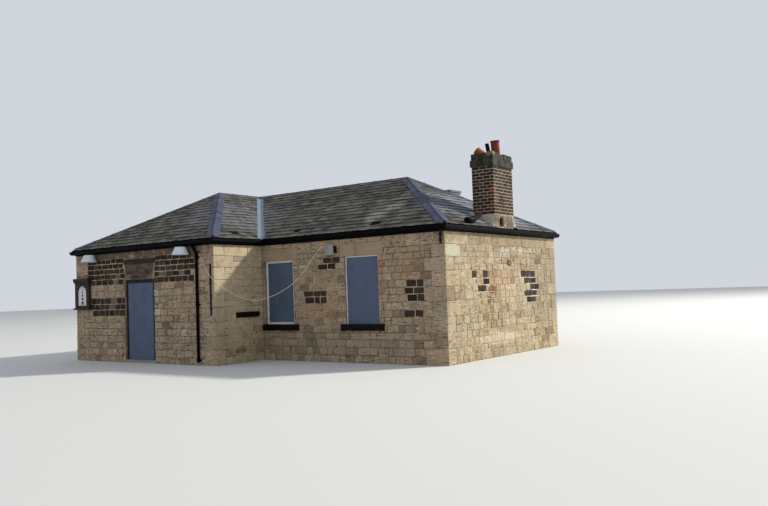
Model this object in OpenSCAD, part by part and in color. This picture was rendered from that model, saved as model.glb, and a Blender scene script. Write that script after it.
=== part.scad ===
// Railway station building: single storey, L-shaped plan, stone walls under hipped slate roofs.
// Millimetres, +Z up. The building is drawn from the inner corner of its two front walls and
// then moved so that the origin lies at the middle of its footprint, on the ground.

/* [Plan] */
// Length of the main front wall, from the wing to the end wall
front_len = 6120; // [5700:10:9000]
// Depth of the main block, which is also the width of the wing
block_depth = 6310; // [6100:10:8000]
// How far the wing stands forward of the main front
wing_out = 1825; // [1500:5:2600]
// Thickness of the stone walls
wall_t = 480; // [380:10:600]
// Thickness of the floor and height of the door thresholds
floor_t = 80; // [50:5:150]

/* [Roof] */
// Pitch of every roof slope, in degrees
roof_pitch = 28.3; // [20:0.1:35]
// Height of the slates over the outer face of the walls
slate_z = 3465; // [3350:5:4200]
// Upright thickness of the rafters, boards and slates together
roof_t = 140; // [100:5:200]
// Upright thickness of the slates where they run out over the gutter
slate_t = 30; // [20:1:45]
// How far the slates run out past the wall face
eaves_over = 100; // [70:5:130]
// Half width of the ridge tiles, in plan
ridge_half = 150; // [100:5:200]
// Half width of the hip tiles, in plan
hip_half = 170; // [120:5:220]
// Upright thickness of the ridge and hip tiles
tile_t = 35; // [20:1:50]
// Half width of the lead in the valley, in plan
valley_half = 120; // [80:5:180]
// Upright thickness of the lead in the valley
lead_t = 12; // [6:1:20]

/* [Eaves] */
// Thickness of the fascia boards
fascia_t = 30; // [20:1:45]
// Height of the lower edge of the fascia boards
fascia_z = 3240; // [3180:5:3260]
// Outer radius of the gutter trough
gutter_r = 60; // [50:1:70]
// Thickness of the gutter
gutter_wall = 8; // [5:1:12]
// Height of the bottom of the gutter
gutter_z = 3270; // [3262:1:3300]
// Depth of the gutter from bottom to lip
gutter_h = 115; // [80:5:125]

/* [Windows] */
// Width of a window opening
window_w = 1080; // [800:10:1200]
// Height of a window opening
window_h = 1780; // [1500:10:1900]
// Height of the window sills
sill_z = 1000; // [800:10:1100]
// Thickness of a window sill
sill_t = 165; // [100:5:200]
// How far a sill stands out of the wall
sill_out = 60; // [30:5:90]
// How far sills and lintels run past the side of an opening
sill_ear = 160; // [120:5:220]
// Height of a window lintel
lintel_h = 330; // [250:5:400]
// How deep sills and lintels are built into the wall
stone_bed = 200; // [120:10:300]
// Face width of the timber frame in an opening
frame_w = 60; // [40:5:80]
// Depth of the timber frame
frame_d = 80; // [60:5:110]
// How far the frame is set back from the wall face
frame_back = 50; // [35:5:90]
// Thickness of the steel sheets that close the openings
board_t = 12; // [6:1:20]

/* [Doors] */
// Width of a doorway
door_w = 1350; // [1000:10:1400]
// Height of a doorway
door_h = 2410; // [2200:10:2450]
// Width of the steel sheet over a doorway
door_board_w = 1140; // [900:10:1160]
// Gap between the top of the door sheet and the doorway
door_gap = 105; // [60:5:150]
// Height of the stone infill over the front doorway
infill_h = 450; // [200:10:460]
// Height of the stone lintel over the infill
door_lintel_h = 150; // [100:5:180]

/* [End chimney] */
// Width of a chimney, along the wall that carries it
chimney_w = 1100; // [900:10:1300]
// Depth of a chimney, from its outer face inwards
chimney_d = 640; // [620:10:800]
// Height of the top of the stone chimney base
base_top_z = 3800; // [3750:10:3900]
// Height of the top of the brick stack
stack_top_z = 5110; // [4700:10:5600]
// Height of the lower, oversailing cap course
cap_low_h = 140; // [100:5:200]
// How far the lower cap course stands out
cap_out = 45; // [20:5:80]
// Height of the upper cap course
cap_high_h = 200; // [140:5:260]
// Radius of the round head of the recess in the chimney base
niche_r = 120; // [80:5:150]
// Height of the straight sides of the recess
niche_h = 150; // [100:5:180]
// Depth of the recess in the chimney base
niche_d = 120; // [60:5:200]
// Height of the mortar fillet over the slates round a chimney
flashing_t = 50; // [30:5:80]
// Width of the mortar fillet round a chimney
flashing_w = 90; // [50:5:150]

/* [Chimney pots] */
// Outer radius of a pot at its foot
pot_r = 115; // [90:1:140]
// Height of the upright pot
pot_h = 470; // [300:10:600]
// Wall thickness of a pot
pot_wall = 22; // [15:1:30]
// Lean of the upright pot, in degrees
pot_lean = 6; // [0:1:12]
// Tilt of the fallen pot, in degrees
pot_fall = 54; // [40:1:60]

/* [Rear stack] */
// Distance of the rear stack's middle from the inner corner of the front walls
rear_stack_x = 2370; // [2300:10:2700]
// Height of the top of the rear stack
rear_stack_z = 4970; // [4500:10:5400]
// Thickness of the slab that closes the rear stack
rear_cap_t = 60; // [40:5:100]

/* [Lamps] */
// Radius of a lamp shade at its rim
lamp_r = 235; // [180:5:240]
// Radius of the flat top of a lamp shade
lamp_top_r = 140; // [100:5:150]
// Height of a lamp shade
lamp_h = 210; // [150:5:225]
// Distance of a lamp's middle from the wall
lamp_out = 250; // [245:5:300]
// Height of the rim of a lamp shade
lamp_z = 3010; // [2900:5:3010]
// Thickness of a lamp shade
lamp_wall = 8; // [5:1:10]

/* [Sign case] */
// Width of the sign case
sign_w = 720; // [600:10:760]
// Height of the sign case, without its cornice
sign_h = 760; // [600:10:820]
// Depth of the sign case
sign_d = 100; // [70:5:130]
// Height of the foot of the sign case
sign_z = 1620; // [1500:10:1650]
// Width of the round-headed panel in the sign case
panel_w = 450; // [300:10:480]
// Height of the panel
panel_h = 610; // [500:10:640]

/* [Pipes] */
// Radius of the downpipe
downpipe_r = 40; // [30:1:45]
// Radius of the conduit beside the wing's corner
conduit_r = 25; // [15:1:26]
// Radius of the broken pipe at the end of the main gutter
stub_r = 30; // [20:1:35]

/* [Junction box] */
// Width of the junction box on the main front
box_w = 285; // [200:5:320]
// Height of the junction box
box_h = 290; // [200:5:300]
// Depth of the junction box
box_d = 120; // [100:5:140]

/* [Hidden] */
$fn = 48;

// A length past every solid that it cuts
far = 20000;
// Width of the joint between two lengths of gutter, board or tile at a corner
joint = 4;
// A hair's breadth that keeps a round piece clear of a flat one
touch = 0.2;
// Rise of the roof for each millimetre in plan
slope = tan(roof_pitch);
// Distance of the gutter's lip from the wall
gutter_out = fascia_t + 2 * gutter_r;

// Middle of the footprint, which becomes the origin
mid_x = (front_len - block_depth) / 2;
mid_y = (block_depth + gutter_out - wing_out - lamp_out - lamp_r) / 2;

// Highest points where the ridges, hips and valley meet, in plan
half = block_depth / 2;
main_peak = [front_len - half, half];
wing_peak = [-half, half - wing_out];
ridge_turn = [-half, half];

// Corners of the wall outline moved out by g, from the wing's outer front corner anticlockwise
function corners(g) = [
    [-block_depth - g, -wing_out - g], [g, -wing_out - g], [g, -g],
    [front_len + g, -g], [front_len + g, block_depth + g], [-block_depth - g, block_depth + g]
];

// Plan of the slope over side i, out to g past the wall
function slope_plan(i, g) =
    let (c = corners(g))
    [
        [c[0], c[1], wing_peak],
        [c[1], c[2], ridge_turn, wing_peak],
        [c[2], c[3], main_peak, ridge_turn],
        [c[3], c[4], main_peak],
        [c[4], c[5], ridge_turn, main_peak],
        [c[5], c[0], wing_peak, ridge_turn]
    ][i];

// Outward direction of side i, in degrees
side_angle = [-90, 0, -90, 0, 90, 180];

// Openings: the wall that holds them, how far along it they are, and the room beside them
// for a sill's ear, as seen from outside
WING_FRONT = 0;
MAIN_FRONT = 2;
BACK = 4;
LEFT = 5;
first_window = 650;
first_ear = min(sill_ear, first_window - window_w / 2);
WINDOWS = [
    [MAIN_FRONT, first_window, first_ear],
    [MAIN_FRONT, front_len - 2550, sill_ear],
    [BACK, 1770 - front_len, sill_ear],
    [BACK, -350, sill_ear],
    [BACK, block_depth - 1710, sill_ear],
    [LEFT, -2200, sill_ear]
];
proud_board = 1;
DOORS = [[WING_FRONT, -3180], [BACK, 2100]];

stack_plan = [front_len - chimney_d, half - chimney_w / 2];
rear_plan = [rear_stack_x - chimney_w / 2, block_depth - chimney_d];
base_seat_z = fascia_z;
cap_z = stack_top_z + cap_low_h + cap_high_h;

// The middle of the lamps along the wing's front, from the inner corner
LAMPS = [-1030, lamp_r - block_depth + 800];
lamp_arm_r = 14;
lamp_arm_z = lamp_z + 95;
lamp_holder_r = 32;
lamp_holder_h = 110;

sign_x = sign_w / 2 + 40 - block_depth;
sign_step = 50;

box_x = 2582;
box_z = 2830;
gland_r = 15;
gland_l = 25;
cable_r = 9;
cable_sides = 8;
cable_steps = 3;

// Middle of the cable, from the junction box down, up and round the wing's corner to its clip
CABLE = [
    [2415, -70, 3085], [2375, -78, 3082], [2325, -112, 3050], [2270, -165, 2975], [2195, -230, 2850],
    [2095, -306, 2675], [1960, -405, 2430], [1800, -525, 2210], [1620, -658, 2035], [1430, -800, 1895],
    [1240, -940, 1790], [1050, -1080, 1725], [880, -1207, 1705], [700, -1340, 1750], [520, -1474, 1835],
    [350, -1602, 1945], [200, -1716, 2075], [90, -1806, 2200], [0, -1866, 2310], [-100, -1892, 2425],
    [-200, -1884, 2545], [-320, -1862, 2695], [-430, -1850, 2850], [-510, -1850, 2965], [-535, -1850, 3040]
];

module place() {
    translate([-mid_x, -mid_y, 0]) children();
}

// Local frame of a wall: x to the right as seen from outside, y into the wall, z up
module on_side(i) {
    if (i == WING_FRONT) translate([0, -wing_out, 0]) children();
    else if (i == MAIN_FRONT) children();
    else if (i == BACK) translate([0, block_depth, 0]) rotate([0, 0, 180]) children();
    else translate([-block_depth, 0, 0]) rotate([0, 0, -90]) children();
}

module each_window() {
    for (w = WINDOWS) on_side(w[0]) translate([w[1], 0, sill_z]) children();
}

module each_door() {
    for (d = DOORS) on_side(d[0]) translate([d[1], 0, 0]) children();
}

// A box from the middle of an opening: width, depth from y0 to y1, height from z0 to z1
module slab(w, y0, y1, z0, z1) {
    translate([-w / 2, y0, z0]) cube([w, y1 - y0, z1 - z0]);
}

module block(low, high) {
    translate(low) cube(high - low);
}

// A round bar with round joints at its ends
module bar(p, q, r) {
    d = q - p;
    translate(p) rotate([0, acos(d[2] / norm(d)), atan2(d[1], d[0])]) cylinder(r = r, h = norm(d));
}

// Everything under one hipped roof over the walls [x0, x1] by [y0, y1], lowered by drop
module hipped_block(x0, x1, y0, y1, drop) {
    grow = 400;
    low = slate_z - drop - grow * slope;
    run_x = (x1 - x0) / 2 + grow;
    run_y = (y1 - y0) / 2 + grow;
    run = min(run_x, run_y);
    intersection() {
        translate([x0 - grow, 0, 0]) rotate([90, 0, 90]) linear_extrude(x1 - x0 + 2 * grow)
            polygon([
                [y0 - grow, -grow], [y1 + grow, -grow], [y1 + grow, low],
                [y1 + grow - run, low + run * slope], [y0 - grow + run, low + run * slope], [y0 - grow, low]
            ]);
        translate([0, y1 + grow, 0]) rotate([90, 0, 0]) linear_extrude(y1 - y0 + 2 * grow)
            polygon([
                [x0 - grow, -grow], [x1 + grow, -grow], [x1 + grow, low],
                [x1 + grow - run, low + run * slope], [x0 - grow + run, low + run * slope], [x0 - grow, low]
            ]);
    }
}

// Everything under the roof planes, lowered by drop: the main roof and the wing roof together
module under_roof(drop) {
    hipped_block(-block_depth, front_len, 0, block_depth, drop);
    hipped_block(-block_depth, 0, -wing_out, block_depth, drop);
}

// A layer of roof from one drop to a deeper one
module roof_layer(top, bottom) {
    difference() {
        under_roof(top);
        under_roof(bottom);
    }
}

module plan_prism(points) {
    translate([0, 0, -1]) linear_extrude(far) polygon(points);
}

// One roof slope: its full thickness over the walls, and its slates alone out over the gutter
module roof_slope(i) {
    intersection() {
        roof_layer(0, roof_t);
        plan_prism(slope_plan(i, 0));
    }
    difference() {
        intersection() {
            roof_layer(0, slate_t);
            plan_prism(slope_plan(i, eaves_over));
        }
        plan_prism(slope_plan(i, 0));
    }
}

// The ground that the end chimney and the rear stack take out of the roof, out past the eaves
module chimney_gap() {
    block([stack_plan[0], stack_plan[1], base_seat_z], [front_len + far, stack_plan[1] + chimney_w, far]);
}

module rear_gap() {
    block([rear_plan[0], rear_plan[1], base_seat_z], [rear_plan[0] + chimney_w, block_depth + far, far]);
}

// The stack's foot: a breast inside the wall, from the ground up to the wall's seat
module breast(plan, size) {
    translate([plan[0], plan[1], 0]) cube([size[0], size[1], base_seat_z + 1]);
}

module breasts() {
    breast(stack_plan, [chimney_d - wall_t, chimney_w]);
    breast(rear_plan, [chimney_w, chimney_d - wall_t]);
}

// A stretch of roof covering in plan, from p towards angle a, half wide each side
module strip(p, a, len, half_w) {
    translate([p[0], p[1], 0]) rotate([0, 0, a]) translate([0, -half_w, 0]) cube([len, 2 * half_w, far]);
}

// The plan between two directions from p, which mitres a tile run against its neighbours
module wedge(p, a0, a1) {
    am = (a0 + a1) / 2;
    plan_prism([p, p + far * [cos(a0), sin(a0)], p + 2 * far * [cos(am), sin(am)], p + far * [cos(a1), sin(a1)]]);
}

// Tiles along a hip from its peak p down to the eaves at angle a, clear of the runs that it meets
module hip_run(p, a, a0, a1) {
    start = p + joint * 2 * [cos(a), sin(a)];
    intersection() {
        roof_layer(-tile_t, 0);
        strip(p, a, (half + eaves_over) * sqrt(2), hip_half);
        wedge(start, a0, a1);
        plan_prism(corners(eaves_over));
    }
}

module valley_run(half_w) {
    strip([eaves_over, -eaves_over], 135, (half + eaves_over) * sqrt(2), half_w);
}

// A profile, drawn outwards and up from the wall's foot, run along side i and mitred at its ends
module eaves_run(i) {
    c = corners(0);
    p = c[i];
    q = c[(i + 1) % 6];
    reach = 300;
    d = (q - p) / norm(q - p);
    difference() {
        intersection() {
            translate([q[0] + reach * d[0], q[1] + reach * d[1], 0]) rotate([90, 0, side_angle[i]])
                linear_extrude(norm(q - p) + 2 * reach) children();
            plan_prism(slope_plan(i, reach));
        }
        for (k = [i, (i + 1) % 6]) corner_cut(k);
    }
}

// A saw cut through the eaves along the mitre at corner k
module corner_cut(k) {
    angle = [45, 135, 135, 135, 45, 135][k];
    translate([corners(0)[k][0], corners(0)[k][1], 0]) rotate([0, 0, angle])
        translate([-1000, -joint / 2, 0]) cube([2000, joint, far]);
}

// Walls, floor

module wall(low, high) {
    difference() {
        intersection() {
            block([low[0], low[1], 0], [high[0], high[1], far]);
            under_roof(roof_t);
        }
        each_window() slab(window_w, -1, wall_t + 1, 0, window_h);
        each_window() lintel(sill_ear, 1);
        each_window() sill(sill_ear, 1);
        each_door() slab(door_w, -1, wall_t + 1, -1, door_h);
        door_head_gap();
        chimney_gap();
        rear_gap();
    }
}

// Room over the front doorway for its infill and lintel
module door_head_gap() {
    on_side(WING_FRONT) translate([DOORS[0][1], 0, door_h]) {
        slab(door_w, -1, wall_t + 1, -1, infill_h);
        slab(door_w + 100, -1, stone_bed, infill_h, infill_h + door_lintel_h);
    }
    on_side(BACK) translate([DOORS[1][1], 0, door_h]) slab(door_w + 2 * sill_ear, -1, stone_bed, 0, lintel_h);
}

module front_wall() {
    color("tan") place() wall([0, 0], [front_len, wall_t]);
}

module end_wall() {
    color("wheat") place() wall([front_len - wall_t, wall_t], [front_len, block_depth - wall_t]);
}

module back_wall() {
    color("tan") place() wall([-block_depth, block_depth - wall_t], [front_len, block_depth]);
}

module left_wall() {
    color("tan") place() wall([-block_depth, wall_t - wing_out], [wall_t - block_depth, block_depth - wall_t]);
}

module wing_front_wall() {
    color("tan") place() wall([-block_depth, -wing_out], [0, wall_t - wing_out]);
}

module wing_side_wall() {
    color("wheat") place() wall([-wall_t, wall_t - wing_out], [0, wall_t]);
}

module floor() {
    color("gray") place() difference() {
        linear_extrude(floor_t) polygon([
            [wall_t - block_depth, wall_t - wing_out], [-wall_t, wall_t - wing_out], [-wall_t, wall_t],
            [front_len - wall_t, wall_t], [front_len - wall_t, block_depth - wall_t],
            [wall_t - block_depth, block_depth - wall_t]
        ]);
        translate([0, 0, -1]) breasts();
    }
}

// Roof

module main_front_slope() {
    color("dimgray") place() roof_slope(2);
}

module end_slope() {
    color("dimgray") place() difference() {
        roof_slope(3);
        chimney_gap();
    }
}

module back_slope() {
    color("dimgray") place() difference() {
        roof_slope(4);
        rear_gap();
    }
}

module left_slope() {
    color("dimgray") place() roof_slope(5);
}

module wing_front_slope() {
    color("dimgray") place() roof_slope(0);
}

module wing_side_slope() {
    color("dimgray") place() roof_slope(1);
}

module ridge_tiles() {
    color("slategray") place() intersection() {
        roof_layer(-tile_t, 0);
        union() {
            intersection() {
                strip(main_peak + [ridge_half, 0], 180, norm(main_peak - ridge_turn) + 2 * ridge_half, ridge_half);
                wedge(main_peak, 112.5, 247.5);
                wedge(ridge_turn, -90, 67.5);
            }
            intersection() {
                strip(wing_peak - [0, ridge_half], 90, wing_out + 2 * ridge_half, ridge_half);
                wedge(wing_peak, 22.5, 157.5);
                wedge(ridge_turn, 202.5, 360);
            }
        }
    }
}

module hip_tiles() {
    color("slategray") place() {
        hip_run(main_peak, -45, -112.5, 0);
        hip_run(main_peak, 45, 0, 112.5);
        hip_run(ridge_turn, 135, 67.5, 202.5);
        hip_run(wing_peak, -45, -90, 22.5);
        hip_run(wing_peak, -135, -202.5, -90);
    }
}

module valley_lead() {
    color("lightsteelblue") place() difference() {
        intersection() {
            roof_layer(-lead_t, 0);
            valley_run(valley_half);
            plan_prism(slope_plan_pair());
        }
        strip(main_peak, 180, 2 * far, ridge_half);
        strip(wing_peak - [0, far], 90, 2 * far, ridge_half);
    }
}

// Plan of the two slopes that share the valley
function slope_plan_pair() =
    let (c = corners(eaves_over)) [c[1], c[2], c[3], main_peak, ridge_turn, wing_peak];

module fascia_boards() {
    color("black") place() for (i = [0:5]) intersection() {
        eaves_run(i) translate([0, fascia_z]) square([fascia_t, slate_z - fascia_z]);
        under_roof(slate_t);
    }
}

module gutter_profile() {
    mid = fascia_t + gutter_r;
    round_z = gutter_z + gutter_r;
    difference() {
        union() {
            translate([mid, round_z]) circle(r = gutter_r);
            translate([fascia_t, round_z]) square([2 * gutter_r, gutter_h - gutter_r]);
        }
        translate([mid, round_z]) circle(r = gutter_r - gutter_wall);
        translate([fascia_t + gutter_wall, round_z]) square([2 * (gutter_r - gutter_wall), gutter_h]);
    }
}

module gutters() {
    color("black") place() for (i = [0:5]) eaves_run(i) gutter_profile();
}

// Windows

module sill(ear, out) {
    translate([-window_w / 2 - ear, -out, -sill_t]) cube([window_w + ear + sill_ear, stone_bed + out, sill_t]);
}

module lintel(ear, out) {
    translate([-window_w / 2 - ear, -out, window_h]) cube([window_w + ear + sill_ear, stone_bed + out, lintel_h]);
}

module window_sills() {
    color("black") place()
        for (w = WINDOWS) on_side(w[0]) translate([w[1], 0, sill_z]) sill(w[2], sill_out);
}

module window_lintels() {
    color("burlywood") place()
        for (w = WINDOWS) on_side(w[0]) translate([w[1], 0, sill_z]) lintel(w[2], 0);
}

module window_frames() {
    color("lightgray") place() each_window() difference() {
        slab(window_w, frame_back, frame_back + frame_d, 0, window_h);
        slab(window_w - 2 * frame_w, 0, wall_t, frame_w, window_h - frame_w);
    }
}

// The second window's sheet is fixed over its frame, the others lie inside theirs
module window_boards() {
    color("slategray") place() for (k = [0 : len(WINDOWS) - 1])
        on_side(WINDOWS[k][0]) translate([WINDOWS[k][1], 0, sill_z])
            if (k == proud_board)
                slab(window_w - frame_w / 2, frame_back - board_t, frame_back, 0, window_h - frame_w / 3);
            else
                slab(window_w - 2 * frame_w, frame_back + frame_w / 3, frame_back + frame_w / 3 + board_t,
                     frame_w, window_h - frame_w);
}

// Black sill left in the wing's side wall under a blocked window
module old_sill() {
    w = 870;
    h = 145;
    color("black") place() translate([0, -185 - w, 1240]) difference() {
        cube([45, w, h]);
        translate([-1, w - h / 2, h / 2]) difference() {
            translate([0, 0, -h]) cube([60, h, 2 * h]);
            rotate([0, 90, 0]) cylinder(r = h / 2, h = 70);
        }
    }
}

// Doors

module door_steps() {
    color("gray") place() each_door() slab(door_w, 0, wall_t, 0, floor_t);
}

module door_frames() {
    side = (door_w - door_board_w) / 2 + 20;
    color("dimgray") place() each_door() difference() {
        slab(door_w, frame_back, frame_back + frame_d, floor_t, door_h);
        slab(door_w - 2 * side, 0, wall_t, floor_t - 1, door_h - door_gap - 20);
    }
}

module door_boards() {
    color("slategray") place() each_door()
        slab(door_board_w, frame_back - board_t, frame_back, floor_t, door_h - door_gap);
}

module door_infill() {
    color("darkkhaki") place() on_side(WING_FRONT) translate([DOORS[0][1], 0, door_h])
        slab(door_w, 0, wall_t, 0, infill_h);
}

module door_lintels() {
    color("saddlebrown") place() {
        on_side(WING_FRONT) translate([DOORS[0][1], 0, door_h + infill_h])
            slab(door_w + 100, 0, stone_bed, 0, door_lintel_h);
        on_side(BACK) translate([DOORS[1][1], 0, door_h]) slab(door_w + 2 * sill_ear, 0, stone_bed, 0, lintel_h);
    }
}

// Chimneys

module chimney_base() {
    niche_z = slate_z - 5;
    color("wheat") place() difference() {
        union() {
            translate([stack_plan[0], stack_plan[1], base_seat_z])
                cube([chimney_d, chimney_w, base_top_z - base_seat_z]);
            breast(stack_plan, [chimney_d - wall_t, chimney_w]);
        }
        translate([front_len - niche_d, half - chimney_w / 2 + 375, niche_z]) {
            translate([0, -niche_r, 0]) cube([niche_d + 1, 2 * niche_r, niche_h]);
            translate([0, 0, niche_h]) rotate([0, 90, 0]) cylinder(r = niche_r, h = niche_d + 1);
        }
    }
}

module chimney_stack() {
    color("sienna") place() translate([stack_plan[0], stack_plan[1], base_top_z])
        cube([chimney_d, chimney_w, stack_top_z - base_top_z]);
}

module chimney_cap() {
    color("darkolivegreen") place() translate([stack_plan[0], stack_plan[1], stack_top_z]) {
        translate([-cap_out, -cap_out, 0]) cube([chimney_d + 2 * cap_out, chimney_w + 2 * cap_out, cap_low_h]);
        translate([0, 0, cap_low_h - 1]) cube([chimney_d, chimney_w, cap_high_h + 1]);
    }
}

// A tapering clay pot with a roll at its mouth, standing on z = 0 and open through
module pot(h) {
    rotate_extrude() polygon([
        [pot_r - pot_wall, -h / 2], [pot_r, -h / 2], [pot_r, 0], [pot_r + 5, h - 45], [pot_r + 15, h - 40],
        [pot_r + 15, h - 5], [pot_r + 10, h], [pot_r - pot_wall + 5, h]
    ]);
}

module chimney_pots() {
    x = front_len - chimney_d / 2;
    color("orangered") place() intersection() {
        union() {
            translate([x, half + 285, cap_z]) rotate([pot_lean, 0, 0]) pot(pot_h);
            translate([x - 35, half - 255, cap_z - 60]) rotate([0, -pot_fall, 0]) pot(pot_h * 0.72);
        }
        translate([0, 0, cap_z]) cube([far, far, far]);
    }
}

module flue_stub() {
    x = front_len - chimney_d / 2 + 20;
    color("black") place() intersection() {
        translate([x, half + 65, cap_z - 20]) rotate([8, -10, 0]) difference() {
            cylinder(r = 55, h = 260);
            translate([0, 0, 40]) cylinder(r = 45, h = 260);
        }
        translate([0, 0, cap_z]) cube([far, far, far]);
    }
}

// Mortar fillets on the slates round the chimneys
module chimney_flashing() {
    color("lightgray") place() intersection() {
        roof_layer(-flashing_t, 0);
        union() {
            difference() {
                translate([stack_plan[0] - flashing_w, stack_plan[1] - flashing_w, 0])
                    cube([chimney_d + flashing_w, chimney_w + 2 * flashing_w, far]);
                chimney_gap();
            }
            difference() {
                translate([rear_plan[0] - flashing_w, rear_plan[1] - flashing_w, 0])
                    cube([chimney_w + 2 * flashing_w, chimney_d + flashing_w, far]);
                rear_gap();
            }
        }
    }
}

module rear_stack() {
    color("silver") place() {
        translate([rear_plan[0], rear_plan[1], base_seat_z])
            cube([chimney_w, chimney_d, rear_stack_z - base_seat_z]);
        breast(rear_plan, [chimney_w, chimney_d - wall_t]);
    }
}

module rear_stack_cap() {
    out = 30;
    color("gray") place() translate([rear_plan[0] - out, rear_plan[1] - out, rear_stack_z])
        cube([chimney_w + 2 * out, chimney_d + 2 * out, rear_cap_t]);
}

// A cranked pipe that has come down on the slates beside the chimney, resting on its collars
module fallen_elbow() {
    r = 50;
    collar = r + 6;
    lift = collar / cos(roof_pitch) + touch;
    a = [front_len - 60, half - 1800];
    b = [front_len - 170, half - 1130];
    foot = [a[0], a[1], slate_z + (front_len - a[0]) * slope + lift];
    bend = [b[0], b[1], slate_z + (front_len - b[0]) * slope + lift];
    tip = bend + [-90, 260, 170];
    color("black") place() {
        bar(foot, bend, r);
        bar(foot, foot + 90 * unit(bend - foot), collar);
        translate(bend) sphere(r = collar);
        bar(bend, tip, r);
    }
}

// Sign case and lamps

// A round-headed outline, extruded out of the wall by d
module arched(w, h, d) {
    rotate([90, 0, 0]) {
        translate([-w / 2, 0, 0]) cube([w, h - w / 2, d]);
        translate([0, h - w / 2, 0]) cylinder(r = w / 2, h = d);
    }
}

module sign_case() {
    recess = 40;
    color("dimgray") place() on_side(WING_FRONT) translate([sign_x, 0, sign_z]) {
        difference() {
            slab(sign_w, -sign_d, 0, 0, sign_h);
            translate([0, -sign_d + recess, (sign_h - panel_h) / 2]) arched(panel_w, panel_h, recess + 1);
        }
        slab(sign_w + sign_step / 2, -sign_d - sign_step / 2, 0, sign_h - 1, sign_h + sign_step);
        slab(sign_w + sign_step, -sign_d - sign_step, 0, sign_h + sign_step - 1, sign_h + 3 * sign_step);
        slab(sign_w + sign_step, -sign_d - sign_step, 0, -sign_step, 1);
    }
}

module sign_panel() {
    recess = 40;
    color("white") place() on_side(WING_FRONT)
        translate([sign_x, -sign_d + recess, sign_z + (sign_h - panel_h) / 2]) arched(panel_w, panel_h, board_t);
}

module each_lamp() {
    for (x = LAMPS) on_side(WING_FRONT) translate([x, -lamp_out, 0]) children();
}

// Open cones of enamelled steel with flat tops
module lamp_shades() {
    color("white") place() each_lamp() difference() {
        translate([0, 0, lamp_z]) rotate_extrude() polygon([
            [lamp_r - lamp_wall, 0], [lamp_r, 0], [lamp_r, lamp_wall], [lamp_top_r, lamp_h],
            [0, lamp_h], [0, lamp_h - lamp_wall], [lamp_top_r - lamp_wall, lamp_h - lamp_wall],
            [lamp_r - 2 * lamp_wall, lamp_wall]
        ]);
        translate([0, 0, lamp_arm_z]) rotate([-90, 0, 0]) cylinder(r = lamp_arm_r + touch, h = far);
    }
}

module lamp_brackets() {
    plate_r = 55;
    plate_t = 15;
    color("dimgray") place() each_lamp() {
        translate([0, lamp_out - plate_t, lamp_arm_z]) rotate([-90, 0, 0]) cylinder(r = plate_r, h = plate_t);
        translate([0, 0, lamp_arm_z]) rotate([-90, 0, 0]) cylinder(r = lamp_arm_r, h = lamp_out - 1);
        translate([0, 0, lamp_z + lamp_h - lamp_wall - lamp_holder_h])
            cylinder(r = lamp_holder_r, h = lamp_holder_h);
    }
}

// Pipes and cable

module downpipe() {
    x = -610;
    y = -wing_out - downpipe_r - 20;
    gutter_y = -wing_out - fascia_t - gutter_r;
    outlet = [x - 100, gutter_y, gutter_z - 50];
    neck = [x, y, 0.92 * gutter_z];
    color("black") place() {
        bar(outlet, [outlet[0], outlet[1], gutter_z - touch], downpipe_r + 6);
        translate(outlet) sphere(r = downpipe_r + 10);
        bar(outlet, neck, downpipe_r);
        translate(neck) sphere(r = downpipe_r + 6);
        bar([x, y, floor_t], neck, downpipe_r);
        for (z = [floor_t + 60, gutter_z / 2, 0.895 * gutter_z]) {
            translate([x, y, z - 35]) cylinder(r = downpipe_r + 8, h = 70);
            translate([x - 80, y, z - 20]) cube([160, -wing_out - y, 40]);
        }
    }
}

module conduit() {
    x = -100;
    y = -wing_out - conduit_r - touch;
    low = 0.41 * gutter_z;
    high = 0.835 * gutter_z;
    color("black") place() {
        bar([x, y, low], [x, y, high], conduit_r);
        for (z = [low + 170, high - 170]) translate([x - 45, y, z - 15]) cube([90, -wing_out - y, 30]);
    }
}

// Outlet of the main gutter with a length of broken pipe
module pipe_stub() {
    x = front_len - 50;
    y = -fascia_t - gutter_r;
    color("black") place() {
        bar([x, y, gutter_z - 110], [x, y, gutter_z - touch], stub_r + 8);
        bar([x, y, 2940], [x, y, gutter_z - 100], stub_r);
    }
}

module junction_box() {
    color("lightgray") place() {
        translate([box_x - box_w / 2, -box_d, box_z]) cube([box_w, box_d, box_h]);
        translate([box_x + 30, -box_d / 2, box_z + box_h - 1]) cylinder(r = 20, h = 60);
        translate([box_x - box_w / 2 - gland_l, CABLE[0][1], CABLE[0][2]]) rotate([0, 90, 0])
            cylinder(r = gland_r, h = gland_l + 1);
        translate([box_x + box_w / 2 - 1, -box_d + 30, box_z + 60]) cube([60, box_d - 30, 180]);
    }
}

module cable_clip() {
    size = 50;
    end = CABLE[len(CABLE) - 1];
    color("black") place() translate([end[0] - size / 2, -wing_out - size, end[2]]) cube(size);
}

// Points on a smooth line through the route
function smooth(p, i, t) =
    let (
        a = p[max(i - 1, 0)], b = p[i], c = p[i + 1], d = p[min(i + 2, len(p) - 1)],
        u = t * t, v = u * t
    )
    0.5 * (2 * b + (c - a) * t + (2 * a - 5 * b + 4 * c - d) * u + (3 * b - a - 3 * c + d) * v);

function unit(v) = v / norm(v);

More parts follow.
